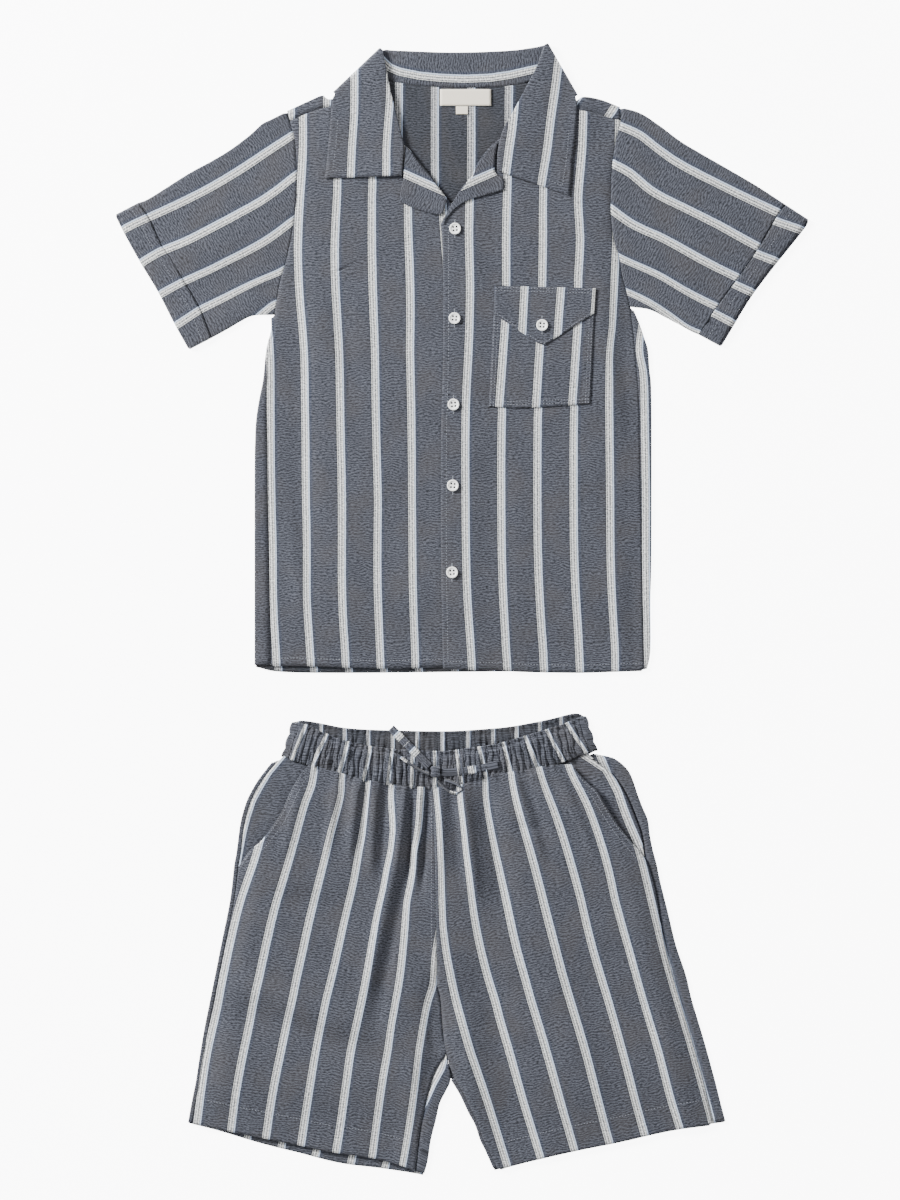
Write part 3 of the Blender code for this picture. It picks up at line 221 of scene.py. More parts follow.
FACING_CORNER_R = (285.8, 759.5)
FACING_SIDE_END = 884
FACING_STEP = 2.0
WAIST_R = chain("309,767 320,769.5 340,775.5 360,781.5 380,784.5 400,788 420,789.5 432.5,790.2")
WAIST_L = chain("432.5,790.2 460,787.5 480,780.5 500,775.5 520,773.5 545,768.5 572,767")
CENTRE = chain("432.5,790.2 435,860 436,920 437,985")
INSEAM_R = chain("437,985 440,1000 441.5,1020 443.5,1040 446,1053 436,1069 430,1086 424.5,1108 420,1128 "
                 "417,1150 415,1171")
INSEAM_SHOWS = 4
CROTCH_R = chain("438.8,1000 442.5,1040 449.3,1064 450.6,1080 446.5,1090 440,1103 436,1120 431,1140 "
                 "428,1160 424.5,1173")
CROTCH_L = chain("437.6,985 440.8,1000 444.2,1040 449.4,1065")
INSEAM_EDGE_L = chain("451,1080 460,1095 468,1112 475,1125 480,1140 485,1150 493,1168")
INSEAM_SEAM_L = chain("454.5,1077 463.5,1093 471.5,1110 478.5,1124 483.5,1139 488.5,1149 496.5,1167")
HEM_FRONT_LEG_R = chain("192.5,1123.5 228,1131 263,1138 298,1145 332,1152 368,1157 400,1165 415,1171")
HEM_BACK_LEG_R = chain("189,1123 220,1131 260,1143 300,1153 340,1163 380,1168 413,1173 423,1175")
HEM_LEG_L = chain("499.2,1171 505,1168 540,1159 580,1150 620,1142 650,1135 680,1129 712,1125")
HEM_BACK_LEG_L = chain("494.5,1170 505,1167.5 540,1158 580,1149.5 620,1141.5 650,1134.5 680,1128.5 "
                       "724,1122")
BACK_WAIST_R = chain("286,759 300,764 320,768 360,773 400,775 440,776")
BACK_WAIST_L = chain("441,776 450,776 490,774 530,771 570,764 593,753.5")
BACK_CENTRE_R = chain("440,776 448.6,1078")
BACK_CENTRE_L = chain("440.1,776 448.7,1078")

# Waistband edges, left to right on the front and back layers
BAND_TOP_FRONT = chain("294,723 303,723 320,731 340,739 360,744 380,747 400,749 440,751 460,749 480,746 "
                       "500,743 520,737 540,731 560,725 580,717 584,717")
BAND_LOW_FRONT = chain("284,756 300,762.5 320,768.5 340,774.5 360,780.5 380,783.5 400,787 420,788.5 "
                       "440,789.5 460,786.5 480,779.5 500,774.5 520,772.5 545,767.5 570,759.5 595,749.5")
BAND_TOP_BACK = chain("294,722 303,720.5 320,723 340,727 360,729 400,730.5 450,731 490,728.5 510,726.5 "
                      "530,723 550,719 570,714 578,713.5 584,716")
BAND_LOW_BACK = chain("284,757 300,763 320,767 360,772 400,774 450,775 490,773 530,770 570,763 595,751")

# Drawstring routes: across, down, height above the table
TIE_END_R = chain("429.5,766.5,8.2 424,761,8 416,753,7.8 407,744,7 399,736,5.4 391,728,4")
TIE_END_L = chain("441.2,771.5,8 448,772.3,7.6 458,771.6,7.4 468,770.3,7.4 484,767.5,7.4 498,764.5,7.4")
TIE_LOOP_R = chain("429.5,774.5,9.6 420,770,9.6 408,762,9.4 398,755,9 394.5,751.5,8.6 397,750,8")
TIE_LOOP_L = chain("437.5,781,8.4 443,786,8.2 450,791.5,7.8 458,793,7.6 463,789,7.8 458,784.5,8.4 "
                   "451,781.5,8.8 444.5,779.5,9.2")
TIE_LOOP_WIDTH = 4.0
TIE_LOOP_TILT = 60
KNOT_MIDDLE = (435.5, 771.5)
KNOT_SIZE = (9.0, 10.0, 4.0)

# Soft folds of the top layers. Columns: from, to, half width, height
SHIRT_FOLDS = table("""
    300,300 360,420 16 1
    264,250 262,550 9 1.6
    296,250 304,540 13 -2.2
    290,520 300,600 7 1.2
    340,300 356,420 10 -1
    600,280 614,420 9 1.5
    632,280 640,420 10 -1.8
    620,350 634,430 8 -0.4
    616,560 622,690 9 1.4
    641,560 642,690 8 -1.6
    340,480 352,640 22 1
    400,560 425,600 9 0.9
    485,395 565,450 10 -1.4
    475,425 560,480 10 1.3
    520,500 512,650 20 0.9
    468,640 504,660 5 1.5
    466,655 500,676 5 -1.2
    560,560 600,640 16 1
""")
SHORTS_FOLDS = table("""
    338,780 326,850 5 2
    347,782 337,850 5 -2.2
    357,784 350,850 4 1.8
    366,786 360,850 4 -2.2
    375,788 371,860 4 1.8
    385,788 381,870 5 -2.2
    404,795 397,860 5 3
    397,860 366,990 7 2.6
    413,795 407,865 5 -3
    407,865 378,1010 8 -2.4
    419,795 416,870 4 2.2
    427,795 422,880 4 -2.8
    441,795 441,860 5 2
    454,795 460,870 7 -2.2
    463,795 476,890 6 2.8
    484,795 502,900 11 -3.2
    517,785 540,850 5 1.8
    528,785 552,850 6 -2.2
    560,775 592,850 6 1.6
    572,775 606,850 6 -2
    520,826 562,832 6 -1.6
    300,790 285,850 7 1.6
    290,885 350,925 14 -2
    250,985 350,1025 14 1.8
    245,1012 370,1055 15 -2.4
    415,1060 405,1165 9 1.4
    436,1020 436,1048 6 -3
    447,970 478,1130 10 1.8
    480,960 518,1140 17 -2.2
    632,880 688,1110 12 2
    540,940 590,1110 22 1.6
""")
SLEEVE_FOLDS = table("""
    640,296 722,326 8 2
    640,200 740,260 16 1.2
    160,260 270,240 16 1.2
    215,320 262,300 10 1
""")
LOWEST_TOP_LEVEL = FLAT_LEVEL + CLOTH + SEAM_GAP
# Each fold begins and dies away between these shares of its length
FOLD_FADES_IN = (-0.35, 0.2)
FOLD_FADES_OUT = (0.8, 1.35)
# The unevenness of washed cotton. Columns: height of the bumps, their size, the seed
CRUMPLES = ((0.4, 33, 1), (0.16, 13, 2))

# Where the layers rise and sink: each pair is the start and the end of a soft step
FALL_LIFT_LOW = (COLLAR_FALL_DEPTH + 5, COLLAR_FALL_DEPTH + 50)
FALL_LIFT_R = (300, 328)
FALL_LIFT_L = (583, 610)
SHIRT_LOFT = 2.0
SHIRT_LOFT_R = (262, 310)
SHIRT_LOFT_L = (590, 642)
SHIRT_LOFT_TOP = (120, 220)
SHIRT_LOFT_HEM = (590, 655)
PLACKET_CLIMB = (466, 498)
FLAP_CLIMB = (279, 290)
FACING_NEAR_R = (370, 318)
FACING_NEAR_L = (520, 566)
FACING_NEAR_LOW = (905, 880)
SHORTS_RISE = 0.7
SHORTS_LOFT = 0.5
SHORTS_LOFT_LOW = (1000, 900)
SHORTS_WAIST_LOW = (860, 800)
INSEAM_RISE = 0.3
SLEEVE_RISE = 0.9
SLEEVE_FOLDS_BEGIN = (0.0, 0.3)
CUFF_RISE = 0.4


# The shown cloth, finer than the solids': its nets have DETAIL steps for each step of a seam
DETAIL = 9
SHOWN_CLOTH = 0.9
SHOWN_CUFF = 1.7
SHOWN_LABEL = 0.6
SHOWN_BAND = 0.7
SHOWN_TAPE = 1.1
SHOWN_GAP = -0.1
PLY_CLOSER = 0.6
TUCK = 3.0
FOLD_SHARE = 1.35
SEAM_DIP = 0.8
SEAM_DIP_WIDTH = 2.2
# Faces of the lowest layer that look up show the wrong side of the cloth, in darker colours that are painted
# shade from the layers above
SHADED_WRONG_SIDE_BELOW = 3.4
LOOKS_UP = 0.3

# The air inside the shorts' legs, less at seams, hems and waistband
LEG_LIFT = 4.0
LEG_LIFT_EDGE = (0, 30)
HEM_SINKS_BY = 0.85
LEG_HEM_SINKS = (1070, 1140)
LIFT_AT_BAND = 0.35
LIFT_BELOW_BAND = (0, 40)
CENTRE_STANDS = 40
CENTRE_SINKS = (930, 1010)

# Sewing thread: real thread is 0.3 mm, drawn thicker so that it shows
THREAD_THICK = 0.45
STITCH_LENGTH = 2.3
STITCH_PITCH = 3.0
STITCH_CLEAR = 0.08
PLACKET_STITCHES = chain("448.5,226 448.5,350 446.5,440 446.5,560 448,660")
LEAF_STITCHES = [chain(line) for line in (
    "332,171 360,170.3 396,168.3", "333,169 336,145 338,120", "504,162 530,172 562,186",
    "562,186 566,162 569,130")]
CENTRE_STITCHES = [chain("431.5,796 431.5,950"), chain("435.3,796 435.3,950")]
# Bars of a buttonhole, from its end in
BAR_COUNT = 12
BAR_START = 9.2
BAR_PITCH = 0.42
BAR_LENGTH = 1.5
BAR_THICK = 0.4
BAR_CLEAR = 0.1

# The weave: from stripe to stripe, between the grey lines, between the ribs, and of the finest relief
PITCH = 36.2
LINE_MM = 2.7
RIB_MM = 2.6
WEAVE_MM = 1.1
# The thin plate through the sampled stripes: its unit, and how far it may miss them
PLATE_UNIT = 100
PLATE_SLACK = 0.002
# Halfway from one stripe to the next
PLAIN = 0.5

# Stage, in metres from the middle of the set
FLOOR_SIZE = 12.0
FLOOR_DROP_MM = 0.1
CAMERA_HEIGHT = 6.0
VIEW_HEIGHT_MM = 1200.0
VIEW_MIDDLE = (450.0, 600.0)
# Columns: name, position, size, share of the power
LAMPS = (
    ("Window light", (-3.2, 2.1, 2.0), 1.3, 1.0),
    ("Soft return", (2.4, -1.2, 2.6), 2.4, 0.1),
)


# Stripes: middle lines on the table, counted from one side. First comes the first line's count
STRIPES_FRONT_R = stripes(0,
    "270,350 271,450 273,550 276,650",
    "303,120 303,150 300,200 298,250 300,300 304,350 305,400 306,500 307,600 310,650",
    "337,200 339,350 342,500 345,650",
    "372,200 375,350 378,500 380,650",
    "408,200 410,350 412,500 415,650",
    "443,215 446.5,262 448,340 449,650")
STRIPES_FRONT_L = stripes(0,
    "469.5,205 469,240 470,280 468.5,350 466,400 465.5,500 467.5,600 471,650",
    "507,200 502,410 506,650",
    "543,200 538,410 543,650",
    "583,120 582,150 578,200 580,240 578,280 574,410 574,550 576,600 579,650",
    "619,120 617,180 616,240 614,290 612,330 609,400 610,500 612,600 615,650",
    "639,350 643,370 644.5,400 646,500 646.6,600 647.5,650")
STRIPES_BACK = stripes(-3,
    "291,84 291,185 314,671",
    "327,84 327,185 349,671",
    "363,84 363,185 384,671",
    "399,84 399,185 419,671",
    "435,84 435,185 455,671",
    "471,84 471,185 491,671",
    "509,84 509,185 527,671",
    "545,84 545,185 563,671",
    "581,84 581,185 599,671")
STRIPES_SLEEVE_R = stripes(1,
    "290,137 270,150 240,170 210,188 170,208 150,217 125,229",
    "295,176 280,188 260,202 240,213 210,229 180,244 160,252 145,261",
    "290,223 270,238 240,255 210,270 190,279 165,292",
    "280,272 250,285 230,295 200,310 185,320",
    "273,305 262,314 244,328")
STRIPES_SLEEVE_L = stripes(1,
    "622,127 640,135 650,143 670,158 700,175 740,195 780,214",
    "613,164 630,173 650,190 680,206 720,226 758,247",
    "612,210 630,223 660,237 700,259 738,278",
    "620,258 640,267 680,288 717,307",
    "632,294 650,303 670,316 690,330 698,333")
STRIPES_CUFF_L = stripes(1,
    "777,222 803,231",
    "756,254 782,264",
    "735,285 757,295",
    "715,314 736,325")
STRIPES_LEAF_R = stripes(0,
    "354.5,50 354.5,90 354,120 352,150 351,175",
    "390,60 390,100 388.4,120 386.5,150 386.4,175")
STRIPES_LEAF_L = stripes(0,
    "515,100 512,130 509,150 506.5,170",
    "558,65 555,90 550.5,120 547,150 542,180")
STRIPES_POCKET = stripes(0,
    "505,325 499.6,400",
    "541,325 536.4,400",
    "577.6,325 572.5,400")
STRIPES_FLAP = stripes(0,
    "524.5,288 522,336",
    "561,288 557.5,336",
    "596.5,288 594,320")
FALL_STRIPE = chain("399,50 399,150")
STAND_STRIPE = chain("384,62 390,68 400,72 420,76 440,78 465,79 490,78 510,75 532,70")
LAPEL_STRIPE_R = chain("404,174 442,191")
LAPEL_STRIPE_L = chain("470,183 497,171")
SHOULDER_STRIPE_R = chain("291,110 291,122")
SHOULDER_STRIPE_L = chain("616.5,104.5 608.5,116.5")
STRIPES_LEG_R = stripes(1,
    "254,862 241,900 230,945 217,1010 208,1050 199,1110",
    "312,785 306,800 292,850 277,900 265,950 254,1000 244,1050 235,1100 231,1131",
    "342,778 341,795 327,850 303,950 292.5,1000 281.5,1050 266,1138",
    "368,785 364,820 359,850 338,950 326,1000 316,1050 301,1145",
    "391,792 393,830 391,850 383,890 371,950 362,1000 351,1050 336,1152",
    "421,792 414,850 407,900 403,950 396,1000 388,1050 372,1158",
    "451,792 450,850 445,900 439,935 435,960 433,985 428,1000 419,1050 413,1100 402,1168")
STRIPES_LEG_L = stripes(0,
    "436,790 439,820 441,860 442,900 443,925 447,956 456,1000 470,1050 487,1100 508,1168",
    "460,795 466,850 472,900 481,950 495,1000 509,1050 523,1100 541,1159",
    "485,775 486,800 495,850 506,900 517,950 531,1000 546,1050 560,1100 575,1152",
    "512,780 516,800 530,850 543,900 556,950 570,1000 585,1050 598,1100 610,1145",
    "541,775 550,800 567,850 581,900 593,950 608,1000 622,1050 635,1100 645,1136",
    "570,770 585,800 603,850 615,900 629,950 643,1000 658,1050 671,1100 680,1129",
    "640,855 651,900 663,950 677,1000 692,1050 706,1100 713,1127")
STRIPES_BACK_LEG_R = stripes(0,
    "247,1141 262,1060 330,790",
    "281,1150 296,1070 356,790",
    "315,1158 332,1080 382,790",
    "350,1167 368,1090 408,790",
    "384,1172 402,1100 430,790")
INSEAM_STRIPE = chain("444,1058 441,1068 432.2,1084 426.8,1096 421.5,1107")
FACING_STRIPE_R = chain("278,760 268,772 260,785 252,800 247,815 243,830 240,845 237,862")
FACING_STRIPE_L = chain("585,755 606,769 612,780 618,792 624,810 630,825 640,848")
BAND_STRIPES_FRONT = stripes(
    0, "305,727 293,758", "327,733 312,766", "348,741 340,773", "370,749 364,780", "392,748 388,786",
    "413,750 412,788", "435,751 435,790", "457,752 462,786", "479,746 485,772", "503,742 512,778",
    "525,736 538,768", "547,730 565,765", "567,723 588,756")
BAND_STRIPES_BACK = [321, 345, 368, 393, 417, 442, 468, 493, 516, 540, 561]
TIE_BLOCKS_R = (21.0, 43.5)
TIE_BLOCKS_L = (31.0,)
LOOP_BLOCKS_R = (30.0,)
LOOP_BLOCKS_L = (20.0,)

def place(across, down, height):
    """Metres in the set's own frame, for a point of the cutting table."""
    return ((across - LAYOUT_MIDDLE[0]) * MM, (LAYOUT_MIDDLE[1] - down) * MM, height * MM)


def ease(low, high, value):
    """0 up to low, 1 from high on, with a soft start and end between."""
    share = np.clip((value - low) / (high - low), 0.0, 1.0)
    return share * share * (3.0 - 2.0 * share)


def along(points, steps):
    """steps + 1 points at equal distances along a chain of straight pieces."""
    points = np.array(points, float)
    lengths = np.linalg.norm(np.diff(points, axis=0), axis=1)
    reach = np.concatenate([[0.0], np.cumsum(lengths)])
    wanted = np.linspace(0.0, reach[-1], steps + 1)
    return np.stack([np.interp(wanted, reach, column) for column in points.T], axis=1)


def edge(*stretches):
    """Stretches of (points, steps), one after the other, as one edge."""
    sampled = [along(points, steps) for points, steps in stretches]
    return np.concatenate([sampled[0]] + [stretch[1:] for stretch in sampled[1:]])


def moved(points, across=0.0, down=0.0):
    """The same line, shifted on the table."""
    return [(point[0] + across, point[1] + down) for point in points]


def net_between(top, bottom, left, right):
    """A net of points between four edges, top and bottom from left to right, sides from top down."""
    s = np.linspace(0.0, 1.0, len(top))[None, :, None]
    t = np.linspace(0.0, 1.0, len(left))[:, None, None]
    across = (1 - t) * top[None] + t * bottom[None]
    down = (1 - s) * left[:, None] + s * right[:, None]
    corners = ((1 - s) * (1 - t) * top[0] + s * (1 - t) * top[-1]
               + (1 - s) * t * bottom[0] + s * t * bottom[-1])
    return across + down - corners


def folds_height(across, down, folds):
    """Sum of soft ridges and troughs, each fading past its ends."""
    total = np.zeros_like(np.asarray(across, float))
    for (x0, y0), (x1, y1), half_width, height in folds:
        length = math.hypot(x1 - x0, y1 - y0)
        ux, uy = (x1 - x0) / length, (y1 - y0) / length
        run = (across - x0) * ux + (down - y0) * uy
        side = (across - x0) * uy - (down - y0) * ux
        fade = ease(*FOLD_FADES_IN, run / length) * (1 - ease(*FOLD_FADES_OUT, run / length))
        total = total + height * fade * np.exp(-(side / half_width) ** 2)
    return total


# Heights of the layers above the table, to the middle of the cloth

def neck_lift(across, down):
    """The collar's fall lies under the back's top, and lifts all that lies on it."""
    over_fall = 1 - ease(*FALL_LIFT_LOW, down)
    return 2 * FOLD_RADIUS * over_fall * ease(*FALL_LIFT_R, across) * (1 - ease(*FALL_LIFT_L, across))


def shirt_back_level(across, down):
    return FLAT_LEVEL + neck_lift(across, down)


def shirt_top_level(across, down):
    loft = ease(*SHIRT_LOFT_R, across) * (1 - ease(*SHIRT_LOFT_L, across)) * ease(*SHIRT_LOFT_TOP, down)
    loft = loft * (1 - HEM_SINKS_BY * ease(*SHIRT_LOFT_HEM, down))
    level = TOP_LEVEL + SHIRT_LOFT * loft + folds_height(across, down, SHIRT_FOLDS)
    return np.maximum(level, LOWEST_TOP_LEVEL) + neck_lift(across, down)


def shirt_left_level(across, down):
    """The left front climbs over the right one at the placket."""
    return shirt_top_level(across, down) + PLY_RISE * (1 - ease(*PLACKET_CLIMB, across))


def pocket_level(across, down):
    return shirt_left_level(across, down) + PLY_RISE


def flap_level(across, down):
    return pocket_level(across, down) + PLY_RISE * ease(*FLAP_CLIMB, down)


def lapel_level(across, down):
    return shirt_top_level(across, down) + PLY_RISE


def lapel_left_level(across, down):
    return shirt_left_level(across, down) + PLY_RISE


def near_opening(across, down):
    """1 over a side pocket's facing, falling to 0 beyond it."""
    return (ease(*FACING_NEAR_R, across) + ease(*FACING_NEAR_L, across)) * ease(*FACING_NEAR_LOW, down)


def even(height):
    """A level that is the same everywhere."""
    return lambda across, down: np.full_like(np.asarray(across, float), height)


FLAT = even(FLAT_LEVEL)


def shorts_top_level(across, down):
    level = TOP_LEVEL + SHORTS_RISE + FOLD_SHARE * folds_height(across, down, SHORTS_FOLDS)
    loft = SHORTS_LOFT * (ease(*SHORTS_LOFT_LOW, down) + ease(*SHORTS_WAIST_LOW, down))
    level = level + loft
    lifted = np.maximum(level, TOP_LEVEL + PLY_RISE)
    share = near_opening(across, down)
    return level + (lifted - level) * share


# Fine nets

def smooth(points, steps=6):
    """The same chain, rounded through its points."""
    points = np.array(points, float)
    if len(points) < 3:
        return points
    before = np.concatenate([[2 * points[0] - points[1]], points[:-1]])
    after = np.concatenate([points[1:], [2 * points[-1] - points[-2]]])
    slope = (after - before) / 2
    found = []
    for index in range(len(points) - 1):
        p, q, m, n = points[index], points[index + 1], slope[index], slope[index + 1]
        for t in np.arange(steps) / steps:
            found.append((2 * t**3 - 3 * t**2 + 1) * p + (t**3 - 2 * t**2 + t) * m
                         + (3 * t**2 - 2 * t**3) * q + (t**3 - t**2) * n)
    return np.array(found + [points[-1]])


def noise(across, down, size, seed):
    """Smooth seeded bumps between -1 and 1, about size millimetres across."""
    draw = np.random.default_rng(seed).uniform(-1, 1, (64, 64))
    x, y = np.asarray(across, float) / size, np.asarray(down, float) / size
    i, j = np.floor(x).astype(int), np.floor(y).astype(int)
    fx, fy = x - i, y - j
    fx, fy = fx * fx * (3 - 2 * fx), fy * fy * (3 - 2 * fy)
    a, b = draw[i % 64, j % 64], draw[(i + 1) % 64, j % 64]
    c, d = draw[i % 64, (j + 1) % 64], draw[(i + 1) % 64, (j + 1) % 64]
    return (a * (1 - fx) + b * fx) * (1 - fy) + (c * (1 - fx) + d * fx) * fy


def crumple(across, down):
    """The slight unevenness of washed cotton that lies flat."""
    turned_x, turned_y = 0.8 * across + 0.6 * down, 0.8 * down - 0.6 * across
    (broad, *broad_bumps), (fine, *fine_bumps) = CRUMPLES
    return broad * noise(turned_x, turned_y, *broad_bumps) + fine * noise(across, down, *fine_bumps)


# Stripes

def stripe_count(samples):
    """A smooth count of stripes over the table, whole along each sampled stripe (a thin plate)."""
    rows = [(count, x, y) for count, line in samples.items() for x, y in line]
    counts = np.array([row[0] for row in rows], float)
    points = np.array([row[1:] for row in rows], float) / PLATE_UNIT

    def bend(distance):
        return distance**2 * np.log(distance + 1e-9)

    gaps = np.linalg.norm(points[:, None] - points[None], axis=2)
    flat = np.concatenate([np.ones((len(points), 1)), points], axis=1)
    left = np.block([[bend(gaps) + PLATE_SLACK * np.eye(len(points)), flat], [flat.T, np.zeros((3, 3))]])
    weights = np.linalg.solve(left, np.concatenate([counts, np.zeros(3)]))

    def count_at(across, down):
        spots = np.stack([np.ravel(across), np.ravel(down)], axis=1) / PLATE_UNIT
        far = np.linalg.norm(spots[:, None] - points[None], axis=2)
        total = bend(far) @ weights[:-3] + weights[-3] + spots @ weights[-2:]
        return total.reshape(np.shape(across))

    return count_at


def stripe_along(line, alone=False):
    """A count that is 0 along a line and grows by one each pitch to its side, or stops short if alone."""
    line = np.array(line, float)

    def count_at(across, down):
        spots = np.stack([np.ravel(across), np.ravel(down)], axis=1)
        best, count = np.full(len(spots), 1e9), np.zeros(len(spots))
        for index in range(len(line) - 1):
            start, run = line[index], line[index + 1] - line[index]
            length = np.linalg.norm(run)
            run = run / length
            reach = (spots - start) @ run
            low = -1e9 if index == 0 else 0.0
            high = 1e9 if index == len(line) - 2 else length
            held = np.clip(reach, low, high)
            away = spots - start - held[:, None] * run
            side = away[:, 0] * run[1] - away[:, 1] * run[0]
            gap = np.linalg.norm(away, axis=1)
            nearer = gap < best
            best = np.where(nearer, gap, best)
            count = np.where(nearer, np.copysign(gap, side) / PITCH, count)
        return (np.clip(count, -0.5, 0.5) if alone else count).reshape(np.shape(across))

    return count_at


# Meshes

def linked(name, data):
    """A new object, linked to the scene."""
    made = bpy.data.objects.new(name, data)
    bpy.context.scene.collection.objects.link(made)
    return made


def deselect():
    for shown in bpy.context.selected_objects:
        shown.select_set(False)


def activate(made):
    deselect()
    made.select_set(True)
    bpy.context.view_layer.objects.active = made


def apply_modifiers(made):
    activate(made)
    for modifier in list(made.modifiers):
        bpy.ops.object.modifier_apply(modifier=modifier.name)


def net_faces(rows, columns, ring, start=0):
    """Corner numbers of each square of a net. A ring's last row of squares joins the first."""
    r, c = np.meshgrid(np.arange(rows if ring else rows - 1), np.arange(columns - 1), indexing="ij")
    after = (r + 1) % rows
    corners = [(r, c), (after, c), (after, c + 1), (r, c + 1)]
    return np.stack([start + a * columns + b for a, b in corners], axis=-1).reshape(-1, 4), corners


def corner_counts(counts, rows, columns, ring):
    """The UV place of each square's corners from a net of places."""
    _, corners = net_faces(rows, columns, ring)
    return np.stack([counts[a, b] for a, b in corners], axis=-2).reshape(-1, 2)


def weave_places(points, count_at, lengthwise):
    """UV place of each point of a net: stripes counted across, pitches measured along the stripe."""
    across, down = points[..., 0], points[..., 1]
    run = np.array(lengthwise, float)
    run /= np.linalg.norm(run)
    return np.stack([count_at(across, down), (across * run[0] + down * run[1]) / PITCH], axis=-1)


def cloth_piece(name, nets, material, thickness=SHOWN_CLOTH):
    """One shell of cloth. nets holds (points, UV places or corner places, whether it is a ring)."""
    verts, faces, uvs, start = [], [], [], 0
    for points, places, ring in nets:
        rows, columns = points.shape[:2]
        found, _ = net_faces(rows, columns, ring, start)
        faces.append(found)
        uvs.append(places if places.ndim == 2 else corner_counts(places, rows, columns, ring))
        verts.append(np.stack(place(*points.reshape(-1, 3).T), axis=1))
        start += rows * columns
    verts, faces, uvs = np.concatenate(verts), np.concatenate(faces), np.concatenate(uvs)
    mesh = bpy.data.meshes.new(name)
    mesh.from_pydata(verts.tolist(), [], faces.tolist())
    layer = mesh.uv_layers.new(name="Weave")
    layer.data.foreach_set("uv", uvs.astype(np.float32).ravel())
    mesh.materials.append(material)
    mesh.update()
    made = linked(name, mesh)
    wall = made.modifiers.new("Cloth", "SOLIDIFY")
    wall.thickness = thickness * MM
    wall.offset = 0.0
    apply_modifiers(made)
    made.data.shade_smooth()
    return made


def shaded_wrong_side_up(piece, material, layer=None):
    """Gives the wrong side of the cloth to the faces of the lowest layer that look up. layer says how many
    squares the whole sheet has and how many of them, the first, are the layer; each is there twice."""
    piece.data.materials.append(material)
    for face in piece.data.polygons:
        inside = layer is None or (face.index < 2 * layer[0] and face.index % layer[0] < layer[1])
        if inside and face.normal.z > LOOKS_UP and face.center.z < SHADED_WRONG_SIDE_BELOW * MM:
            face.material_index = 1


def fine_net(top, bottom, left, right):
    """A fine net between four edges, each a list of stretches of (points, steps)."""
    top, bottom, left, right = [fine_edge(*each) for each in (top, bottom, left, right)]
    top[0], top[-1], bottom[0], bottom[-1] = left[0], right[0], left[-1], right[-1]
    return net_between(top, bottom, left, right)


def fine_line(points, steps):
    return along(smooth(points), steps * DETAIL)


def fine_edge(*stretches):
    return edge(*[(smooth(points), steps * DETAIL) for points, steps in stretches])


def stand_for(piece, node):
    """Puts a piece in the place of its solid."""
    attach(piece, "root")
    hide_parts(node)


def dress(piece, node, flat, area):
    """Puts a sheet of cloth in the place of its solid."""
    stand_for(piece, node)


def laid(net, level, count_at, lengthwise=(0, 1)):
    """A net on a level, with its stripes, as cloth_piece takes it."""
    points = np.concatenate([net, level(net[..., 0], net[..., 1])[..., None]], axis=2)
    return points, weave_places(points, count_at, lengthwise), False


def panel(node, laid_net, cloth_surface, flat, area):
    """A cut piece that is one net."""
    dress(cloth_piece(f"{node}_cloth", [laid_net], cloth_surface), node, flat, area)


def cloth_level(level):
    """A level of the solids with the crumple of real cloth."""
    def found(across, down):
        return level(across, down) + crumple(across, down)
    return found


def turned_strip(edge_points, seam_points, top_level, low_level, count_at, lengthwise=(0, 1)):
    """The strip of a back that turns over its own edge on to the front, as far as the seam."""
    out = outward(edge_points, seam_points)
    middle = edge_points - out * FOLD_INSET
    top = top_level(seam_points[:, 0], seam_points[:, 1])
    low = low_level(middle[:, 0], middle[:, 1])
    radius = (top - low) / 2
    middle = edge_points - out * (radius + SHOWN_CLOTH / 2)[:, None]
    seam = seam_points + out * SHOWN_GAP
    columns = [np.concatenate([seam * (1 - share) + middle * share, top[:, None]], axis=1)
               for share in (0.0, 0.5)]
    for turn in np.radians(np.arange(0, 181, 20)):
        flat = middle + out * (radius * math.sin(turn))[:, None]
        height = low + radius + radius * math.cos(turn)
        columns.append(np.concatenate([flat, height[:, None]], axis=1))
    columns.append(np.concatenate([middle - out * LIP, low[:, None]], axis=1))
    strip = np.stack(columns, axis=1)
    return strip, weave_places(strip, count_at, lengthwise), False


def outward(points, inner):
    """Unit vectors square to a chain of points, away from the inner chain."""
    run = np.gradient(points, axis=0)
    square = np.stack([run[:, 1], -run[:, 0]], axis=1)
    square /= np.linalg.norm(square, axis=1)[:, None]
    side = np.sign(np.sum(square * (points - inner), axis=1))
    return square * np.where(side == 0, 1.0, side)[:, None]


# Shirt

def seam_valley(across, down):
    """The slight dip of the cloth along the sleeve seams."""
    spots = np.stack([np.ravel(across), np.ravel(down)], axis=1)
    total = np.zeros(len(spots))
    for line in (ARMHOLE_R, ARMHOLE_L):
        gap = np.linalg.norm(spots[:, None] - along(smooth(line), 90)[None], axis=2).min(axis=1)
        total += SEAM_DIP * np.exp(-(gap / SEAM_DIP_WIDTH) ** 2)
    return total.reshape(np.shape(across))


SHIRT_TOP = cloth_level(lambda across, down: shirt_top_level(across, down) - seam_valley(across, down))
SHIRT_LEFT = cloth_level(lambda across, down: shirt_left_level(across, down) - seam_valley(across, down))
POCKET_TOP = cloth_level(lambda across, down: pocket_level(across, down) - PLY_CLOSER)
FLAP_LEVEL = cloth_level(lambda across, down: flap_level(across, down) - 2 * PLY_CLOSER)


SEAM_LINE_R = np.array(CENTRE + INSEAM_R[1:])
SEAM_LINE_L = np.array(CENTRE + CROTCH_L[1:] + INSEAM_SEAM_L)


def across_at(line, down):
    """How far across a line is at each place down the table."""
    return np.interp(down, [point[1] for point in line], [point[0] for point in line])


def below_band(across, down):
    """Distance below the waistband's lower edge."""
    return down - np.interp(across, BAND_LOW_LINE[:, 0], BAND_LOW_LINE[:, 1])


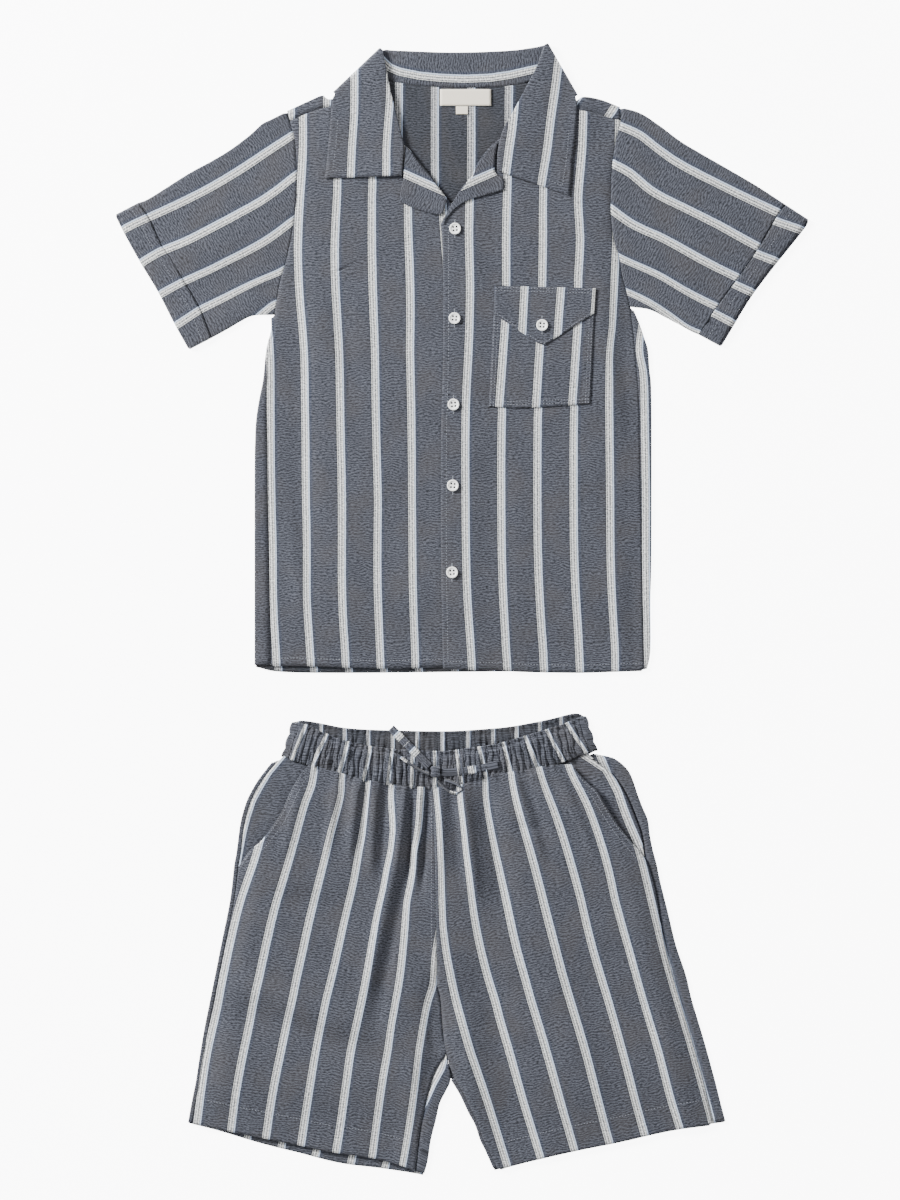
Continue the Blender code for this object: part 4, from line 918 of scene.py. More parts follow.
def leg_lift(across, down):
    """The air under the middle of each leg's front, none at its seams."""
    # The centre seam stands with the fronts, and only the inseams lie on the backs
    standing = CENTRE_STANDS * (1 - ease(*CENTRE_SINKS, down))
    right = np.minimum(across - across_at(LEG_EDGE_R, down), across_at(SEAM_LINE_R, down) - across + standing)
    left = np.minimum(across - across_at(SEAM_LINE_L, down) + standing, across_at(LEG_SEAM_L, down) - across)
    share = ease(*LEG_LIFT_EDGE, np.maximum(right, left)) * (1 - HEM_SINKS_BY * ease(*LEG_HEM_SINKS, down))
    near_band = ease(*LIFT_BELOW_BAND, below_band(across, down))
    return LEG_LIFT * share * (LIFT_AT_BAND + (1 - LIFT_AT_BAND) * near_band)


def shorts_base(across, down):
    """The shorts' top layer, with its folds standing over the air inside."""
    return shorts_top_level(across, down) + leg_lift(across, down) + crumple(across, down)


def armhole(points, shift):
    line = moved(points, shift)
    return [(line[:2], 1), (line[1:], 8)]


def make_shirt_back(cloth_surface):
    side_r, side_l = moved(SIDE_EDGE_R, FOLD_INSET), moved(SIDE_EDGE_L, -FOLD_INSET)
    side_r[-1] = (side_r[-1][0], HEM_BACK[0][1])
    side_l[-1] = (side_l[-1][0], HEM_BACK[-1][1])
    shoulder_r, shoulder_l = [moved(line, 0, FOLD_INSET) for line in (SHOULDER_EDGE_R, SHOULDER_EDGE_L)]
    net = fine_net([(shoulder_r, 3), (moved(NECK_SEAM, 0, SHOWN_GAP), 6), (shoulder_l, 3)], [(HEM_BACK, 12)],
                   armhole(ARMHOLE_R, SHOWN_GAP) + [([ARMHOLE_R[-1]] + side_r[1:], 9)],
                   armhole(ARMHOLE_L, -SHOWN_GAP) + [([ARMHOLE_L[-1]] + side_l[1:], 9)])
    crumpled = cloth_level(shirt_back_level)
    nets = [laid(net, lambda across, down: np.maximum(crumpled(across, down), FLAT_LEVEL),
                 stripe_count(STRIPES_BACK))]
    for edge_points, seam_points, steps, count_at in (
        (SIDE_EDGE_R, SIDE_SEAM_R, 9, stripe_count(STRIPES_FRONT_R)),
        (SIDE_EDGE_L, SIDE_SEAM_L, 9, stripe_count(STRIPES_FRONT_L)),
        (SHOULDER_EDGE_R, SHOULDER_SEAM_R, 4, stripe_along(SHOULDER_STRIPE_R)),
        (SHOULDER_EDGE_L, SHOULDER_SEAM_L, 4, stripe_along(SHOULDER_STRIPE_L)),
    ):
        edge_line, seam_line = fine_line(edge_points, steps), fine_line(seam_points, steps)
        # The seam's start is moved in a little, clear of the corner
        seam_line[0] += 0.02 * (seam_line[8] - seam_line[0])
        nets.append(turned_strip(edge_line, seam_line, SHIRT_TOP, shirt_back_level, count_at))
    back = cloth_piece("shirt_back_cloth", nets, cloth_surface)
    squares = [(len(points) - 1) * (points.shape[1] - 1) for points, _, _ in nets]
    # The back's upward inside faces get the darker wrong side: painted shade under the fronts and collar
    shaded_wrong_side_up(back, surface(SHADED_WRONG_SIDE), [sum(squares), squares[0]])
    dress(back, "shirt_back", (0.42, 0.63), 0.235)


def make_shirt_fronts(cloth_surface):
    net = fine_net([(moved(SHOULDER_SEAM_R, 0, SHOWN_GAP), 7)], [(HEM_FRONT_R, 7)],
                   [(moved(ARMHOLE_R, SHOWN_GAP)[1:], 8), (moved(SIDE_SEAM_R, SHOWN_GAP), 9)],
                   [(NECKLINE_R, 3), (ROLL_R, 4), (UNDERLAP_R, 10)])
    panel("shirt_front_right", laid(net, SHIRT_TOP, stripe_count(STRIPES_FRONT_R)), cloth_surface,
          (0.21, 0.57), 0.1)
    net = fine_net([(moved(SHOULDER_SEAM_L, 0, SHOWN_GAP), 9)], [(HEM_FRONT_L, 9)],
                   [(NECKLINE_L, 3), (ROLL_L, 5), (PLACKET_L, 9)],
                   [(moved(ARMHOLE_L, -SHOWN_GAP)[1:], 8), (moved(SIDE_SEAM_L, -SHOWN_GAP), 9)])
    panel("shirt_front_left", laid(net, SHIRT_LEFT, stripe_count(STRIPES_FRONT_L)), cloth_surface,
          (0.21, 0.58), 0.102)


def make_lapels(cloth_surface):
    net = fine_net([(LAPEL_TOP_R, 3)], [(LAPEL_LOW_R, 3)], [(LAPEL_CORNER_R, 2)],
                   [([LAPEL_TOP_R[-1], LAPEL_LOW_R[-1]], 2)])
    panel("facing_right", laid(net, cloth_level(lapel_level), stripe_along(LAPEL_STRIPE_R), (38, 17)),
          cloth_surface, (0.048, 0.07), 0.0017)
    net = fine_net([(LAPEL_TOP_L, 3)], [(LAPEL_LOW_L, 3)], [([LAPEL_TOP_L[0], LAPEL_LOW_L[0]], 3)],
                   [(LAPEL_CORNER_L, 3)])
    panel("facing_left", laid(net, cloth_level(lapel_left_level), stripe_along(LAPEL_STRIPE_L), (27, -12)),
          cloth_surface, (0.05, 0.08), 0.0013)


def tube_net(top, bottom, left, right, level, low, thickness, under_shift=(0.0, 0.0)):
    """A tube of cloth laid flat: a net with heights, a fold along each side, and the same net below."""
    net = net_between(top, bottom, left, right)
    heights = level(net)
    columns = net.shape[1]
    sections = []
    for column in range(columns):
        line, height = net[:, column], heights[:, column]
        ends = []
        for end, inner in ((0, 1), (-1, -2)):
            out = line[end] - line[inner]
            out = out / np.linalg.norm(out)
            radius = (height[end] - low) / 2
            ends.append((line[end] - out * (radius + thickness / 2), out, radius))
        upper = np.concatenate([[ends[0][0]], line[2:-2], [ends[1][0]]])
        tops = np.concatenate([[height[0]], height[2:-2], [height[-1]]])
        shift = np.array(under_shift) * column / (columns - 1)
        section = [(*point, z) for point, z in zip(upper, tops)]
        section += arc(*ends[1], low, shift)
        section += [(*(point + shift), low) for point in upper[::-1]]
        section += arc(*ends[0], low, shift)[::-1]
        sections.append(section)
    return np.array(sections).transpose(1, 0, 2)


def arc(middle, out, radius, low, shift):
    """The points between the top and the bottom of a fold."""
    found = []
    for turn in (30, 60, 90, 120, 150):
        reach = radius * math.sin(math.radians(turn))
        height = low + radius + radius * math.cos(math.radians(turn))
        found.append((*(middle + out * reach + shift * (turn / 180)), height))
    return found


SLEEVES = (
    ("right", ARMHOLE_R, SLEEVE_TOP_R, SLEEVE_LOW_R, CUFF_LINE_R, CUFF_EDGE_R, -1, STRIPES_SLEEVE_R,
     STRIPES_SLEEVE_R, (-52, 30), (0.40, 0.15), 0.0415, (0.31, 0.03), 0.0079),
    ("left", ARMHOLE_L, SLEEVE_TOP_L, SLEEVE_LOW_L, CUFF_LINE_L, CUFF_EDGE_L, 1, STRIPES_SLEEVE_L,
     STRIPES_CUFF_L, (52, 26), (0.42, 0.16), 0.0470, (0.31, 0.027), 0.0070),
)


def make_sleeves(cloth_surface):
    middle_level = TOP_LEVEL + SLEEVE_RISE

    def sleeve_level(net):
        share = np.linspace(0.0, 1.0, net.shape[1])[None, :]
        start = SHIRT_TOP(net[:, :1, 0], net[:, :1, 1])
        level = start * (1 - share) + (middle_level + crumple(net[..., 0], net[..., 1])) * share
        return level + folds_height(net[..., 0], net[..., 1], SLEEVE_FOLDS) * ease(*SLEEVE_FOLDS_BEGIN, share)

    def add_tube(node, points, stripe_lines, lengthwise, thickness, flat, area):
        places = weave_places(points, stripe_count(stripe_lines), lengthwise) * [-1, 1]
        made = cloth_piece(f"{node}_cloth", [(points, places, True)], cloth_surface, thickness)
        dress(made, node, flat, area)

    for (name, hole, top, low, line, outer, out, stripe_lines, cuff_lines, lengthwise, flat, area, cuff_flat,
         cuff_area) in SLEEVES:
        start = fine_edge(*armhole(hole, out * SHOWN_GAP))
        end = along(smooth(line), len(start) - 1)
        upper, lower = fine_line(top, 6), fine_line(low, 6)
        upper[0], lower[0], upper[-1], lower[-1] = start[0], start[-1], end[0], end[-1]
        points = tube_net(upper, lower, start, end, sleeve_level, FLAT_LEVEL, SHOWN_CLOTH)
        add_tube(f"sleeve_{name}", points, stripe_lines, lengthwise, SHOWN_CLOTH, flat, area)
        begin, finish = fine_line(moved(line, out * SHOWN_GAP), 9), fine_line(outer, 9)
        under = finish.mean(axis=0) - begin.mean(axis=0)
        under *= CUFF_UNDER_SHOWS / np.linalg.norm(under)
        finish = finish - under
        upper, lower = along([begin[0], finish[0]], 12), along([begin[-1], finish[-1]], 12)
        points = tube_net(upper, lower, begin, finish, lambda net: cuff_level(net[..., 0], net[..., 1]),
                          CUFF_CLOTH / 2, SHOWN_CUFF, under)
        add_tube(f"cuff_{name}", points, cuff_lines, lengthwise, SHOWN_CUFF, cuff_flat, cuff_area)


def cuff_level(across, down):
    return TOP_LEVEL + SLEEVE_RISE + (CUFF_CLOTH - CLOTH) / 2 + CUFF_RISE + 0.5 * crumple(across, down)


COLLAR_STEPS = 6
COLLAR_TURNS = 14
FALL_FINE = 28
STAND_FINE = 12
ROLL_FLATTENS = (0.15, 0.75)


def stations(rows):
    """Collar stations with others between them, on smooth lines."""
    flat = np.array([(*roll, *outer, stand) for roll, outer, stand in rows], float)
    return [((row[0], row[1]), (row[2], row[3]), row[4]) for row in smooth(flat, COLLAR_STEPS)]


def make_collar(cloth_surface):
    """One net from leaf end to leaf end. Its columns are stand, roll, fall, and outer edge."""
    turns = [180 * step / COLLAR_TURNS for step in range(COLLAR_TURNS + 1)]
    plan = [(station, 0, False, "right") for station in stations(LEAF_R)]
    plan += [(COLLAR_FOLD_R, turn, True, "right") for turn in turns]
    plan += [(station, 180, False, "back") for station in stations(COLLAR_BACK)]
    plan += [(COLLAR_FOLD_L, turn, True, "left") for turn in turns[::-1]]
    plan += [(station, 0, False, "left") for station in stations(LEAF_L)]
    points = np.array([collar_row(*station, turn, over_edge) for station, turn, over_edge, _ in plan])
    fields = {"right": stripe_count(STRIPES_LEAF_R), "left": stripe_count(STRIPES_LEAF_L),
              "back": stripe_along(FALL_STRIPE)}
    leaf = np.stack([weave_places(row[None], fields[side], (0, 1))[0]
                     for row, (_, _, _, side) in zip(points, plan)])
    stand = weave_places(points, stripe_along(STAND_STRIPE), (1, 0))
    stand[[turn == 0 for _, turn, _, _ in plan], :, 0] = PLAIN
    count, columns = points.shape[:2]
    leaf, stand = [corner_counts(places, count, columns, False) for places in (leaf, stand)]
    _, corners = net_faces(count, columns, False)
    column = np.repeat(corners[0][1].reshape(-1), 4)
    places = np.where((column < STAND_FINE + 3)[:, None], stand, leaf)
    panel("collar", (points, places, False), cloth_surface, (0.42, 0.1), 0.036)


def collar_row(roll, outer, stand, leaf_turn, over_edge):
    """One station of the collar. leaf_turn is 0 on the front leaf, 180 on the fall behind the neck."""
    roll, outer = np.array(roll, float), np.array(outer, float)
    if over_edge or leaf_turn == 0:
        towards = (roll - outer) / np.linalg.norm(roll - outer)
    else:
        towards = np.array([0.0, -1.0])
    roll = roll - towards * FOLD_INSET
    shares = np.linspace(0.0, 1.0, FALL_FINE + 1)
    flat = roll + (outer - roll) * shares[:, None]
    near_roll = 1 - ease(*ROLL_FLATTENS, shares)
    if over_edge:
        top = TOP_LEVEL + 2 * FOLD_RADIUS + PLY_RISE + 2 * FOLD_RADIUS * near_roll
        radius = (top - FLAT_LEVEL) / 2
        away = np.array([towards[1], -towards[0]])
        if np.dot(away, (roll + outer) / 2 - np.array(COLLAR_MIDDLE)) < 0:
            away = -away
        turn = math.radians(leaf_turn)
        flat = flat - away * (radius + CLOTH / 2)[:, None] + away * (radius * math.sin(turn))[:, None]
        height = FLAT_LEVEL + radius + radius * math.cos(turn)
        inner = np.array([*(-away * math.sin(turn)), -math.cos(turn)])
    elif leaf_turn == 0:
        height = SHIRT_TOP(flat[:, 0], flat[:, 1]) + PLY_RISE + 2 * FOLD_RADIUS * near_roll
        inner = np.array([0.0, 0.0, -1.0])
    else:
        height = np.full(len(flat), FLAT_LEVEL)
        inner = np.array([0.0, 0.0, 1.0])
    fall = np.concatenate([flat, height[:, None]], axis=1)
    start = fall[0]
    lengthwise = np.array([*towards, 0.0])
    depth = stand - FOLD_INSET - SEAM_GAP / 2
    row = [start + inner * 2 * FOLD_RADIUS - lengthwise * depth * share
           for share in np.linspace(1.0, 0.0, STAND_FINE + 1)[:-1]]
    row += [start + (inner * (1 - math.cos(turn)) + lengthwise * math.sin(turn)) * FOLD_RADIUS
            for turn in np.radians([180, 150, 120, 90, 60, 30])]
    return row + list(fall)


def make_pocket(cloth_surface):
    net = fine_net([([POCKET_LEFT[0], POCKET_RIGHT[0]], 5)], [(POCKET_LOW, 5)], [(POCKET_LEFT, 5)],
                   [(POCKET_RIGHT, 5)])
    panel("chest_pocket", laid(net, POCKET_TOP, stripe_count(STRIPES_POCKET)), cloth_surface,
          (0.11, 0.12), 0.0116)
    net = net_between(along(FLAP_TOP, 54), along(FLAP_LOW, 54), along(FLAP_LEFT, 30), along(FLAP_RIGHT, 30))
    panel("pocket_flap", laid(net, FLAP_LEVEL, stripe_count(STRIPES_FLAP)), cloth_surface,
          (0.102, 0.06), 0.0043)


def make_labels(label_surface):
    def label_level(across, down):
        return shirt_back_level(across, down) + CLOTH / 2 + BUTTON_GAP + LABEL_THICK / 2

    made = {}
    for name, ((x0, y0), (x1, y1)) in (("neck_label", LABEL), ("size_tab", TAB)):
        net = net_between(along([(x0, y0), (x1, y0)], 20), along([(x0, y1), (x1, y1)], 20),
                          along([(x0, y0), (x0, y1)], 8), along([(x1, y0), (x1, y1)], 8))
        tape = laid(net, label_level, lambda across, down: across / PITCH)
        made[name] = cloth_piece(f"{name}_woven", [tape], label_surface, SHOWN_LABEL)
        stand_for(made[name], name)


# Shorts

# The waistband's net, and the depth and the ends of its gathers
GATHER_SHOWN = 4.4
BAND_ACROSS = 24
BAND_STEPS = 10
BAND_BACK_STEPS = 6
BAND_DRAW = 1.35
BAND_SINK = 1.7
BAND_BULGE = 1.3
BAND_ENDS_FRONT = 20
BAND_ENDS_BACK = 15
SCALLOP_LOW = 1.6
SCALLOP_TOP = 1.2
WAIST_MIDDLE = 437
WAIST_HALF = 145
WAIST_SPREAD = 0.33


def band_relief(station, share, seed):
    """Gathers of the casing: uneven tunnels with finer ridges and creases in them, pinched along its row of
    stitches."""
    place_along = station + 0.3 * noise(station * 3, share * 4 + 40 * seed, 1.0, 20 + seed)
    fine = 1 - 0.35 * (1 - np.abs(np.sin(math.pi * (2 * place_along + 0.3)))) ** 2
    ridge = np.abs(np.sin(math.pi * place_along)) ** 0.5 * fine
    height = 0.8 + 0.4 * noise(np.floor(place_along) * 5.3, share * 2.6, 1.0, 30 + seed)
    crease = 1 - 0.5 * np.maximum(0.0, noise(station * 2.1, share * 3.0, 1.0, 50 + seed)) ** 2
    pinch = 1 - 0.6 * np.exp(-((share - 0.12) / 0.06) ** 2)
    return ridge * height * crease * pinch


BAND_LOW_LINE = along(smooth(BAND_LOW_FRONT), 400)
BAND_LOW_REACH = np.linspace(0.0, GATHERS, 401)


def gathers_below_band(across, down):
    """Small folds that run down out of the gathered waistband and die away."""
    fall = np.maximum(below_band(across, down), 0.0)
    source = across - (across - WAIST_MIDDLE) / WAIST_HALF * fall * WAIST_SPREAD
    station = np.interp(source, BAND_LOW_LINE[:, 0], BAND_LOW_REACH)
    # The band's own gathers run on for a few millimetres, and broader folds further
    small = 0.7 * band_relief(station, np.full_like(station, 0.97), 0) * GATHER_SHOWN
    none = np.zeros_like(source)
    broad = noise(source, none, 10, 6) + 0.6 * noise(source, none, 19, 7)
    return (small - 0.6) * np.exp(-fall / 9) + 1.3 * broad * np.exp(-fall / 45) * ease(0, 6, fall)


def shorts_front_level(across, down):
    level = shorts_base(across, down) + gathers_below_band(across, down)
    level = level - 0.5 * (1 - ease(0.0, 7.0, below_band(across, down)))
    floor = np.where(near_opening(across, down) > 0.5, TOP_LEVEL + PLY_RISE * 0.75, LOWEST_TOP_LEVEL)
    return np.maximum(level, floor)


def make_leg_backs(cloth_surface):
    side_level, inseam_level = even(TOP_LEVEL), even(TOP_LEVEL + INSEAM_RISE)
    crotch = moved(CROTCH_R[3:], -FOLD_INSET)
    crotch[-1] = HEM_BACK_LEG_R[-1]
    left = moved(LEG_EDGE_R, FOLD_INSET)
    left[0], left[-1] = BACK_WAIST_R[0], HEM_BACK_LEG_R[0]
    net = fine_net([(BACK_WAIST_R, 6)], [(HEM_BACK_LEG_R, 6)], [(left, 14)],
                   [(BACK_CENTRE_R, 9), ([BACK_CENTRE_R[-1]] + crotch[1:], 5)])
    side = fine_line(LEG_EDGE_R[1:], 14)
    nets = [
        laid(net, FLAT, stripe_count(STRIPES_BACK_LEG_R)),
        turned_strip(side, side + [LEG_SEAM_STEP_R, 0.0], side_level, FLAT, stripe_count(STRIPES_LEG_R)),
        turned_strip(fine_line(CROTCH_R[2:], 8), fine_line(INSEAM_R[INSEAM_SHOWS:], 8), inseam_level, FLAT,
                     stripe_along(INSEAM_STRIPE, alone=True), (-1, 2)),
    ]
    back = cloth_piece("shorts_back_right_cloth", nets, cloth_surface)
    dress(back, "shorts_back_right", (0.27, 0.42), 0.0897)

    inseam = moved(INSEAM_EDGE_L, FOLD_INSET)
    inseam[-1] = HEM_BACK_LEG_L[0]
    right = moved(LEG_EDGE_L, -FOLD_INSET)
    right[0], right[-1] = BACK_WAIST_L[-1], HEM_BACK_LEG_L[-1]
    net = fine_net([(BACK_WAIST_L, 6)], [(HEM_BACK_LEG_L, 6)],
                   [(BACK_CENTRE_L, 9), ([BACK_CENTRE_L[-1]] + inseam, 5)], [(right, 14)])
    count_at = stripe_count(STRIPES_LEG_L)
    nets = [
        laid(net, FLAT, count_at),
        turned_strip(fine_line(LEG_EDGE_L[1:], 14), fine_line(LEG_SEAM_L, 14), side_level, FLAT, count_at),
        turned_strip(fine_line(INSEAM_EDGE_L, 5), fine_line(INSEAM_SEAM_L, 5), inseam_level, FLAT, count_at),
    ]
    back = cloth_piece("shorts_back_left_cloth", nets, cloth_surface)
    dress(back, "shorts_back_left", (0.27, 0.42), 0.0907)


def tucked(points, shift=0.0):
    """A line whose first point runs on under the waistband."""
    return [(points[0][0] + shift, points[0][1] - TUCK)] + points[1:]


def make_leg_fronts(cloth_surface):
    side = [point for point in moved(LEG_EDGE_R, LEG_SEAM_STEP_R) if point[1] > OPENING_R[-1][1]]
    side[-1] = HEM_FRONT_LEG_R[0]
    inseam = moved(INSEAM_R, -SHOWN_GAP)
    net = fine_net([(moved(WAIST_R, 0, -TUCK), 9)], [(HEM_FRONT_LEG_R, 9)],
                   [(tucked(OPENING_R, 1), 7), ([OPENING_R[-1]] + side, 9)],
                   [(tucked(moved(CENTRE, -SHOWN_GAP)), 7), (inseam[:2], 1), (inseam[1:], 8)])
    panel("shorts_front_right", laid(net, shorts_front_level, stripe_count(STRIPES_LEG_R), (-0.15, 1)),
          cloth_surface, (0.25, 0.41), 0.074)
    crotch, inseam = moved(CROTCH_L, SHOWN_GAP), moved(INSEAM_SEAM_L, SHOWN_GAP)
    side = [point for point in moved(LEG_SEAM_L, -SHOWN_GAP) if point[1] > OPENING_L[-1][1]]
    net = fine_net([(moved(WAIST_L, 0, -TUCK), 9)], [(HEM_LEG_L, 9)],
                   [(tucked(moved(CENTRE, SHOWN_GAP)), 7), (crotch, 4), ([crotch[-1]] + inseam, 5)],
                   [(tucked(OPENING_L, -1), 7), ([OPENING_L[-1]] + side, 9)])
    panel("shorts_front_left", laid(net, shorts_front_level, stripe_count(STRIPES_LEG_L), (0.2, 1)),
          cloth_surface, (0.27, 0.41), 0.0814)


def make_pocket_facings(cloth_surface):
    outer_r = [FACING_CORNER_R] + [point for point in moved(LEG_EDGE_R, LEG_SEAM_STEP_R + SHOWN_GAP)
                                   if LEG_EDGE_R[1][1] < point[1] < FACING_SIDE_END]
    outer_l = [point for point in moved(LEG_SEAM_L, -FACING_STEP) if point[1] < FACING_SIDE_END]
    for name, left, right, stripe, flat, area in (
        ("right", outer_r, list(FACING_HIDDEN_R), FACING_STRIPE_R, (0.065, 0.14), 0.0051),
        ("left", list(FACING_HIDDEN_L), outer_l, FACING_STRIPE_L, (0.055, 0.145), 0.0045),
    ):
        left[0], right[0] = [(x, y - 2 * TUCK) for x, y in (left[0], right[0])]
        net = fine_net([([left[0], right[0]], 2)], [([left[-1], right[-1]], 2)], [(left, 4)], [(right, 4)])
        panel(f"pocket_facing_{name}", laid(net, even(TOP_LEVEL), stripe_along(stripe)), cloth_surface,
              flat, area)


def band_line(table_line, steps, shares):
    """Points of a casing layer, down from its upper edge at each step."""
    top, low = [along(smooth(points), steps) for points in table_line]
    return top[:, None] * (1 - shares[:, None]) + low[:, None] * shares[:, None]


def make_waistband(cloth_surface):
    front, back = GATHERS * BAND_STEPS, GATHERS * BAND_BACK_STEPS
    shares = np.linspace(0.0, 1.0, BAND_ACROSS + 1)
    crown = BAND_CROWN * (1 - (2 * shares - 1) ** 4)
    rows = []
    for index, line in enumerate(band_line((BAND_TOP_FRONT, BAND_LOW_FRONT), front, shares)):
        relief = band_relief(np.full_like(shares, index / BAND_STEPS), shares, 0)
        wave = GATHER_SHOWN * relief * min(1.0, index / BAND_ENDS_FRONT, (front - index) / BAND_ENDS_FRONT)
        # The lower and the upper edge are scalloped by the gathers
        down = line[:, 1] + SCALLOP_LOW * (relief - 0.5) * np.clip((shares - 0.8) * 5, 0, 1)
        down -= SCALLOP_TOP * (relief - 0.5) * np.clip((0.15 - shares) * 6, 0, 1)
        height = BAND_FRONT_TOP - BAND_SINK + wave + crown * BAND_BULGE
        rows.append(np.stack([line[:, 0], down, height], axis=1))
    first, last = rows[0].copy(), rows[-1].copy()
    back_rows = []
    for index, line in reversed(list(enumerate(band_line((BAND_TOP_BACK, BAND_LOW_BACK), back, shares)))):
        relief = band_relief(np.full_like(shares, index / BAND_BACK_STEPS), shares, 1)
        fade = min(1.0, index / BAND_ENDS_BACK, (back - index) / BAND_ENDS_BACK)
        wave = (0.55 - 0.35 * ease(0.35, 0.65, shares)) * GATHER_SHOWN * relief * fade
        back_rows.append(np.stack([line[:, 0], line[:, 1], FLAT_LEVEL + 0.1 + wave], axis=1))
    turns = np.radians(np.arange(15, 180, 15))
    rows += band_fold(last, back_rows[0], turns, 1.0) + back_rows
    rows += band_fold(first, back_rows[-1], turns, -1.0)[::-1]
    points = np.array(rows)
    samples = {count: along(line, 2) for count, line in BAND_STRIPES_FRONT.items()}
    back_samples = {count: [(x, 715), (x, 780)] for count, x in enumerate(BAND_STRIPES_BACK)}
    half = len(turns) // 2
    on_front = np.zeros(len(points), bool)
    on_front[:front + 1 + half] = True
    on_front[-half - 1:] = True
    size = points.shape[:2]
    _, corners = net_faces(*size, True)
    row = np.repeat(corners[0][0].reshape(-1), 4)
    nets = [drawn_together(weave_places(points, stripe_count(lines), (0, 1)))
            for lines in (samples, back_samples)]
    places = np.where(on_front[row][:, None], *[corner_counts(net, *size, True) for net in nets])
    band = cloth_piece("waistband_cloth", [(points, places, True)], cloth_surface, SHOWN_BAND)
    # The band's upward inside faces get the darker wrong side: painted shade under its front layer
    shaded_wrong_side_up(band, surface(SHADED_WRONG_SIDE))
    stand_for(band, "waistband")


def drawn_together(places):
    """UV places with each white band narrower, as the gathers take it in."""
    whole = np.round(places[..., 0])
    near = np.clip(BAND_DRAW * (places[..., 0] - whole), -0.49, 0.49)
    return np.stack([whole + near, places[..., 1]], axis=-1)


def band_fold(above, below, turns, side):
    """The turn at one end of the band, from the front row down to the back row."""
    found = []
    for turn in turns:
        share = (1 - math.cos(turn)) / 2
        row = above * (1 - share) + below * share
        bulge = BAND_FOLD_REACH + 1.6 * np.abs(np.sin(np.linspace(0.2, 2.6, len(row)) * math.pi)) - 0.8
        row[:, 0] += side * bulge * math.sin(turn)
        found.append(row)
    return found


# Drawstring

def ribbon(route, width, tilt, blocks):
    """A flat tie along a route, its middle line and its length. tilt stands it up from lying flat, in
    degrees, and a white band lies square across it at each block."""
    line = along(smooth(route), TIE_FINE)
    run = np.gradient(line[:, :2], axis=0)
    run /= np.linalg.norm(run, axis=1)[:, None]
    lean = math.radians(tilt)
    half = np.concatenate([np.stack([run[:, 1], -run[:, 0]], axis=1) * math.cos(lean),
                           np.full((len(line), 1), math.sin(lean))], axis=1) * width / 2
    sides = np.linspace(1.0, -1.0, TIE_ACROSS)
    points = np.stack([line + half * side for side in sides], axis=1)
    points[..., 2] += TIE_CROWN * (1 - sides[None, :] ** 2) * math.cos(lean)
    reach = np.concatenate([[0.0], np.cumsum(np.linalg.norm(np.diff(line, axis=0), axis=1))])
    gaps = reach[:, None] - np.array(blocks)[None]
    nearest = np.take_along_axis(gaps, np.abs(gaps).argmin(axis=1)[:, None], axis=1)
    counts = np.repeat(np.clip(nearest, -BLOCK_REACH, BLOCK_REACH), len(sides), axis=1)
    places = np.stack([counts, np.repeat(sides[None] * width / 2, len(reach), axis=0)], axis=-1) / PITCH
    return (points, places, False), line, reach[-1]


def make_drawstring(cloth_surface):
    made = {}
    for name, route, width, tilt, blocks in (
        ("tie_end_right", TIE_END_R, TIE_WIDTH, 0.0, TIE_BLOCKS_R),
        ("tie_end_left", TIE_END_L, TIE_WIDTH, 0.0, TIE_BLOCKS_L),
        ("tie_loop_right", TIE_LOOP_R, TIE_LOOP_WIDTH, TIE_LOOP_TILT, LOOP_BLOCKS_R),
        ("tie_loop_left", TIE_LOOP_L, TIE_LOOP_WIDTH, TIE_LOOP_TILT, LOOP_BLOCKS_L),
    ):
        net, line, length = ribbon(route, width, tilt, blocks)
        piece = cloth_piece(f"{name}_tape", [net], cloth_surface, SHOWN_TAPE)
        stand_for(piece, name)
        made[name] = (piece, line, length)
    knot = make_knot(cloth_surface)
    stand_for(knot, "tie_knot")
    for side, others in (("right", [knot, made["tie_loop_right"][0]]), ("left", [made["tie_loop_left"][0]])):
        piece, line, length = made[f"tie_end_{side}"]
        path = [place(*point) for point in line]
        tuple(path[0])


def make_knot(cloth_surface):
    deselect()
    bpy.ops.mesh.primitive_cube_add(size=1.0)
    knot = bpy.context.active_object
    knot.name = "tie_knot_tape"
    bpy.ops.object.mode_set(mode="EDIT")
    bpy.ops.mesh.subdivide(number_cuts=3, smoothness=0.6)
    bpy.ops.object.mode_set(mode="OBJECT")
    height = BAND_FRONT_TOP + GATHER_HEIGHT + BAND_CROWN + BUTTON_GAP + KNOT_SIZE[2] / 2
    middle = np.array(place(*KNOT_MIDDLE, height))
    for vert in knot.data.vertices:
        x, y, z = vert.co
        pinch = 1 - 0.28 * math.cos(2 * math.pi * y) * (abs(x) > 0.2)
        size = np.array([x * KNOT_SIZE[0] * 0.82 * pinch, y * KNOT_SIZE[1] * 0.85, z * KNOT_SIZE[2]])
        vert.co = middle + size * MM
    soft = knot.modifiers.new("Soft", "SUBSURF")
    soft.levels = 2
    soft.render_levels = 2
    apply_modifiers(knot)
    knot.data.shade_smooth()
    layer = knot.data.uv_layers.active
    layer.name = "Weave"
    for loop in knot.data.loops:
        co = knot.data.vertices[loop.vertex_index].co
        layer.data[loop.index].uv = ((co.x - middle[0]) / MM / PITCH + 0.36, (co.y - middle[1]) / MM / PITCH)
    knot.data.materials.append(cloth_surface)
    return knot


# Buttons

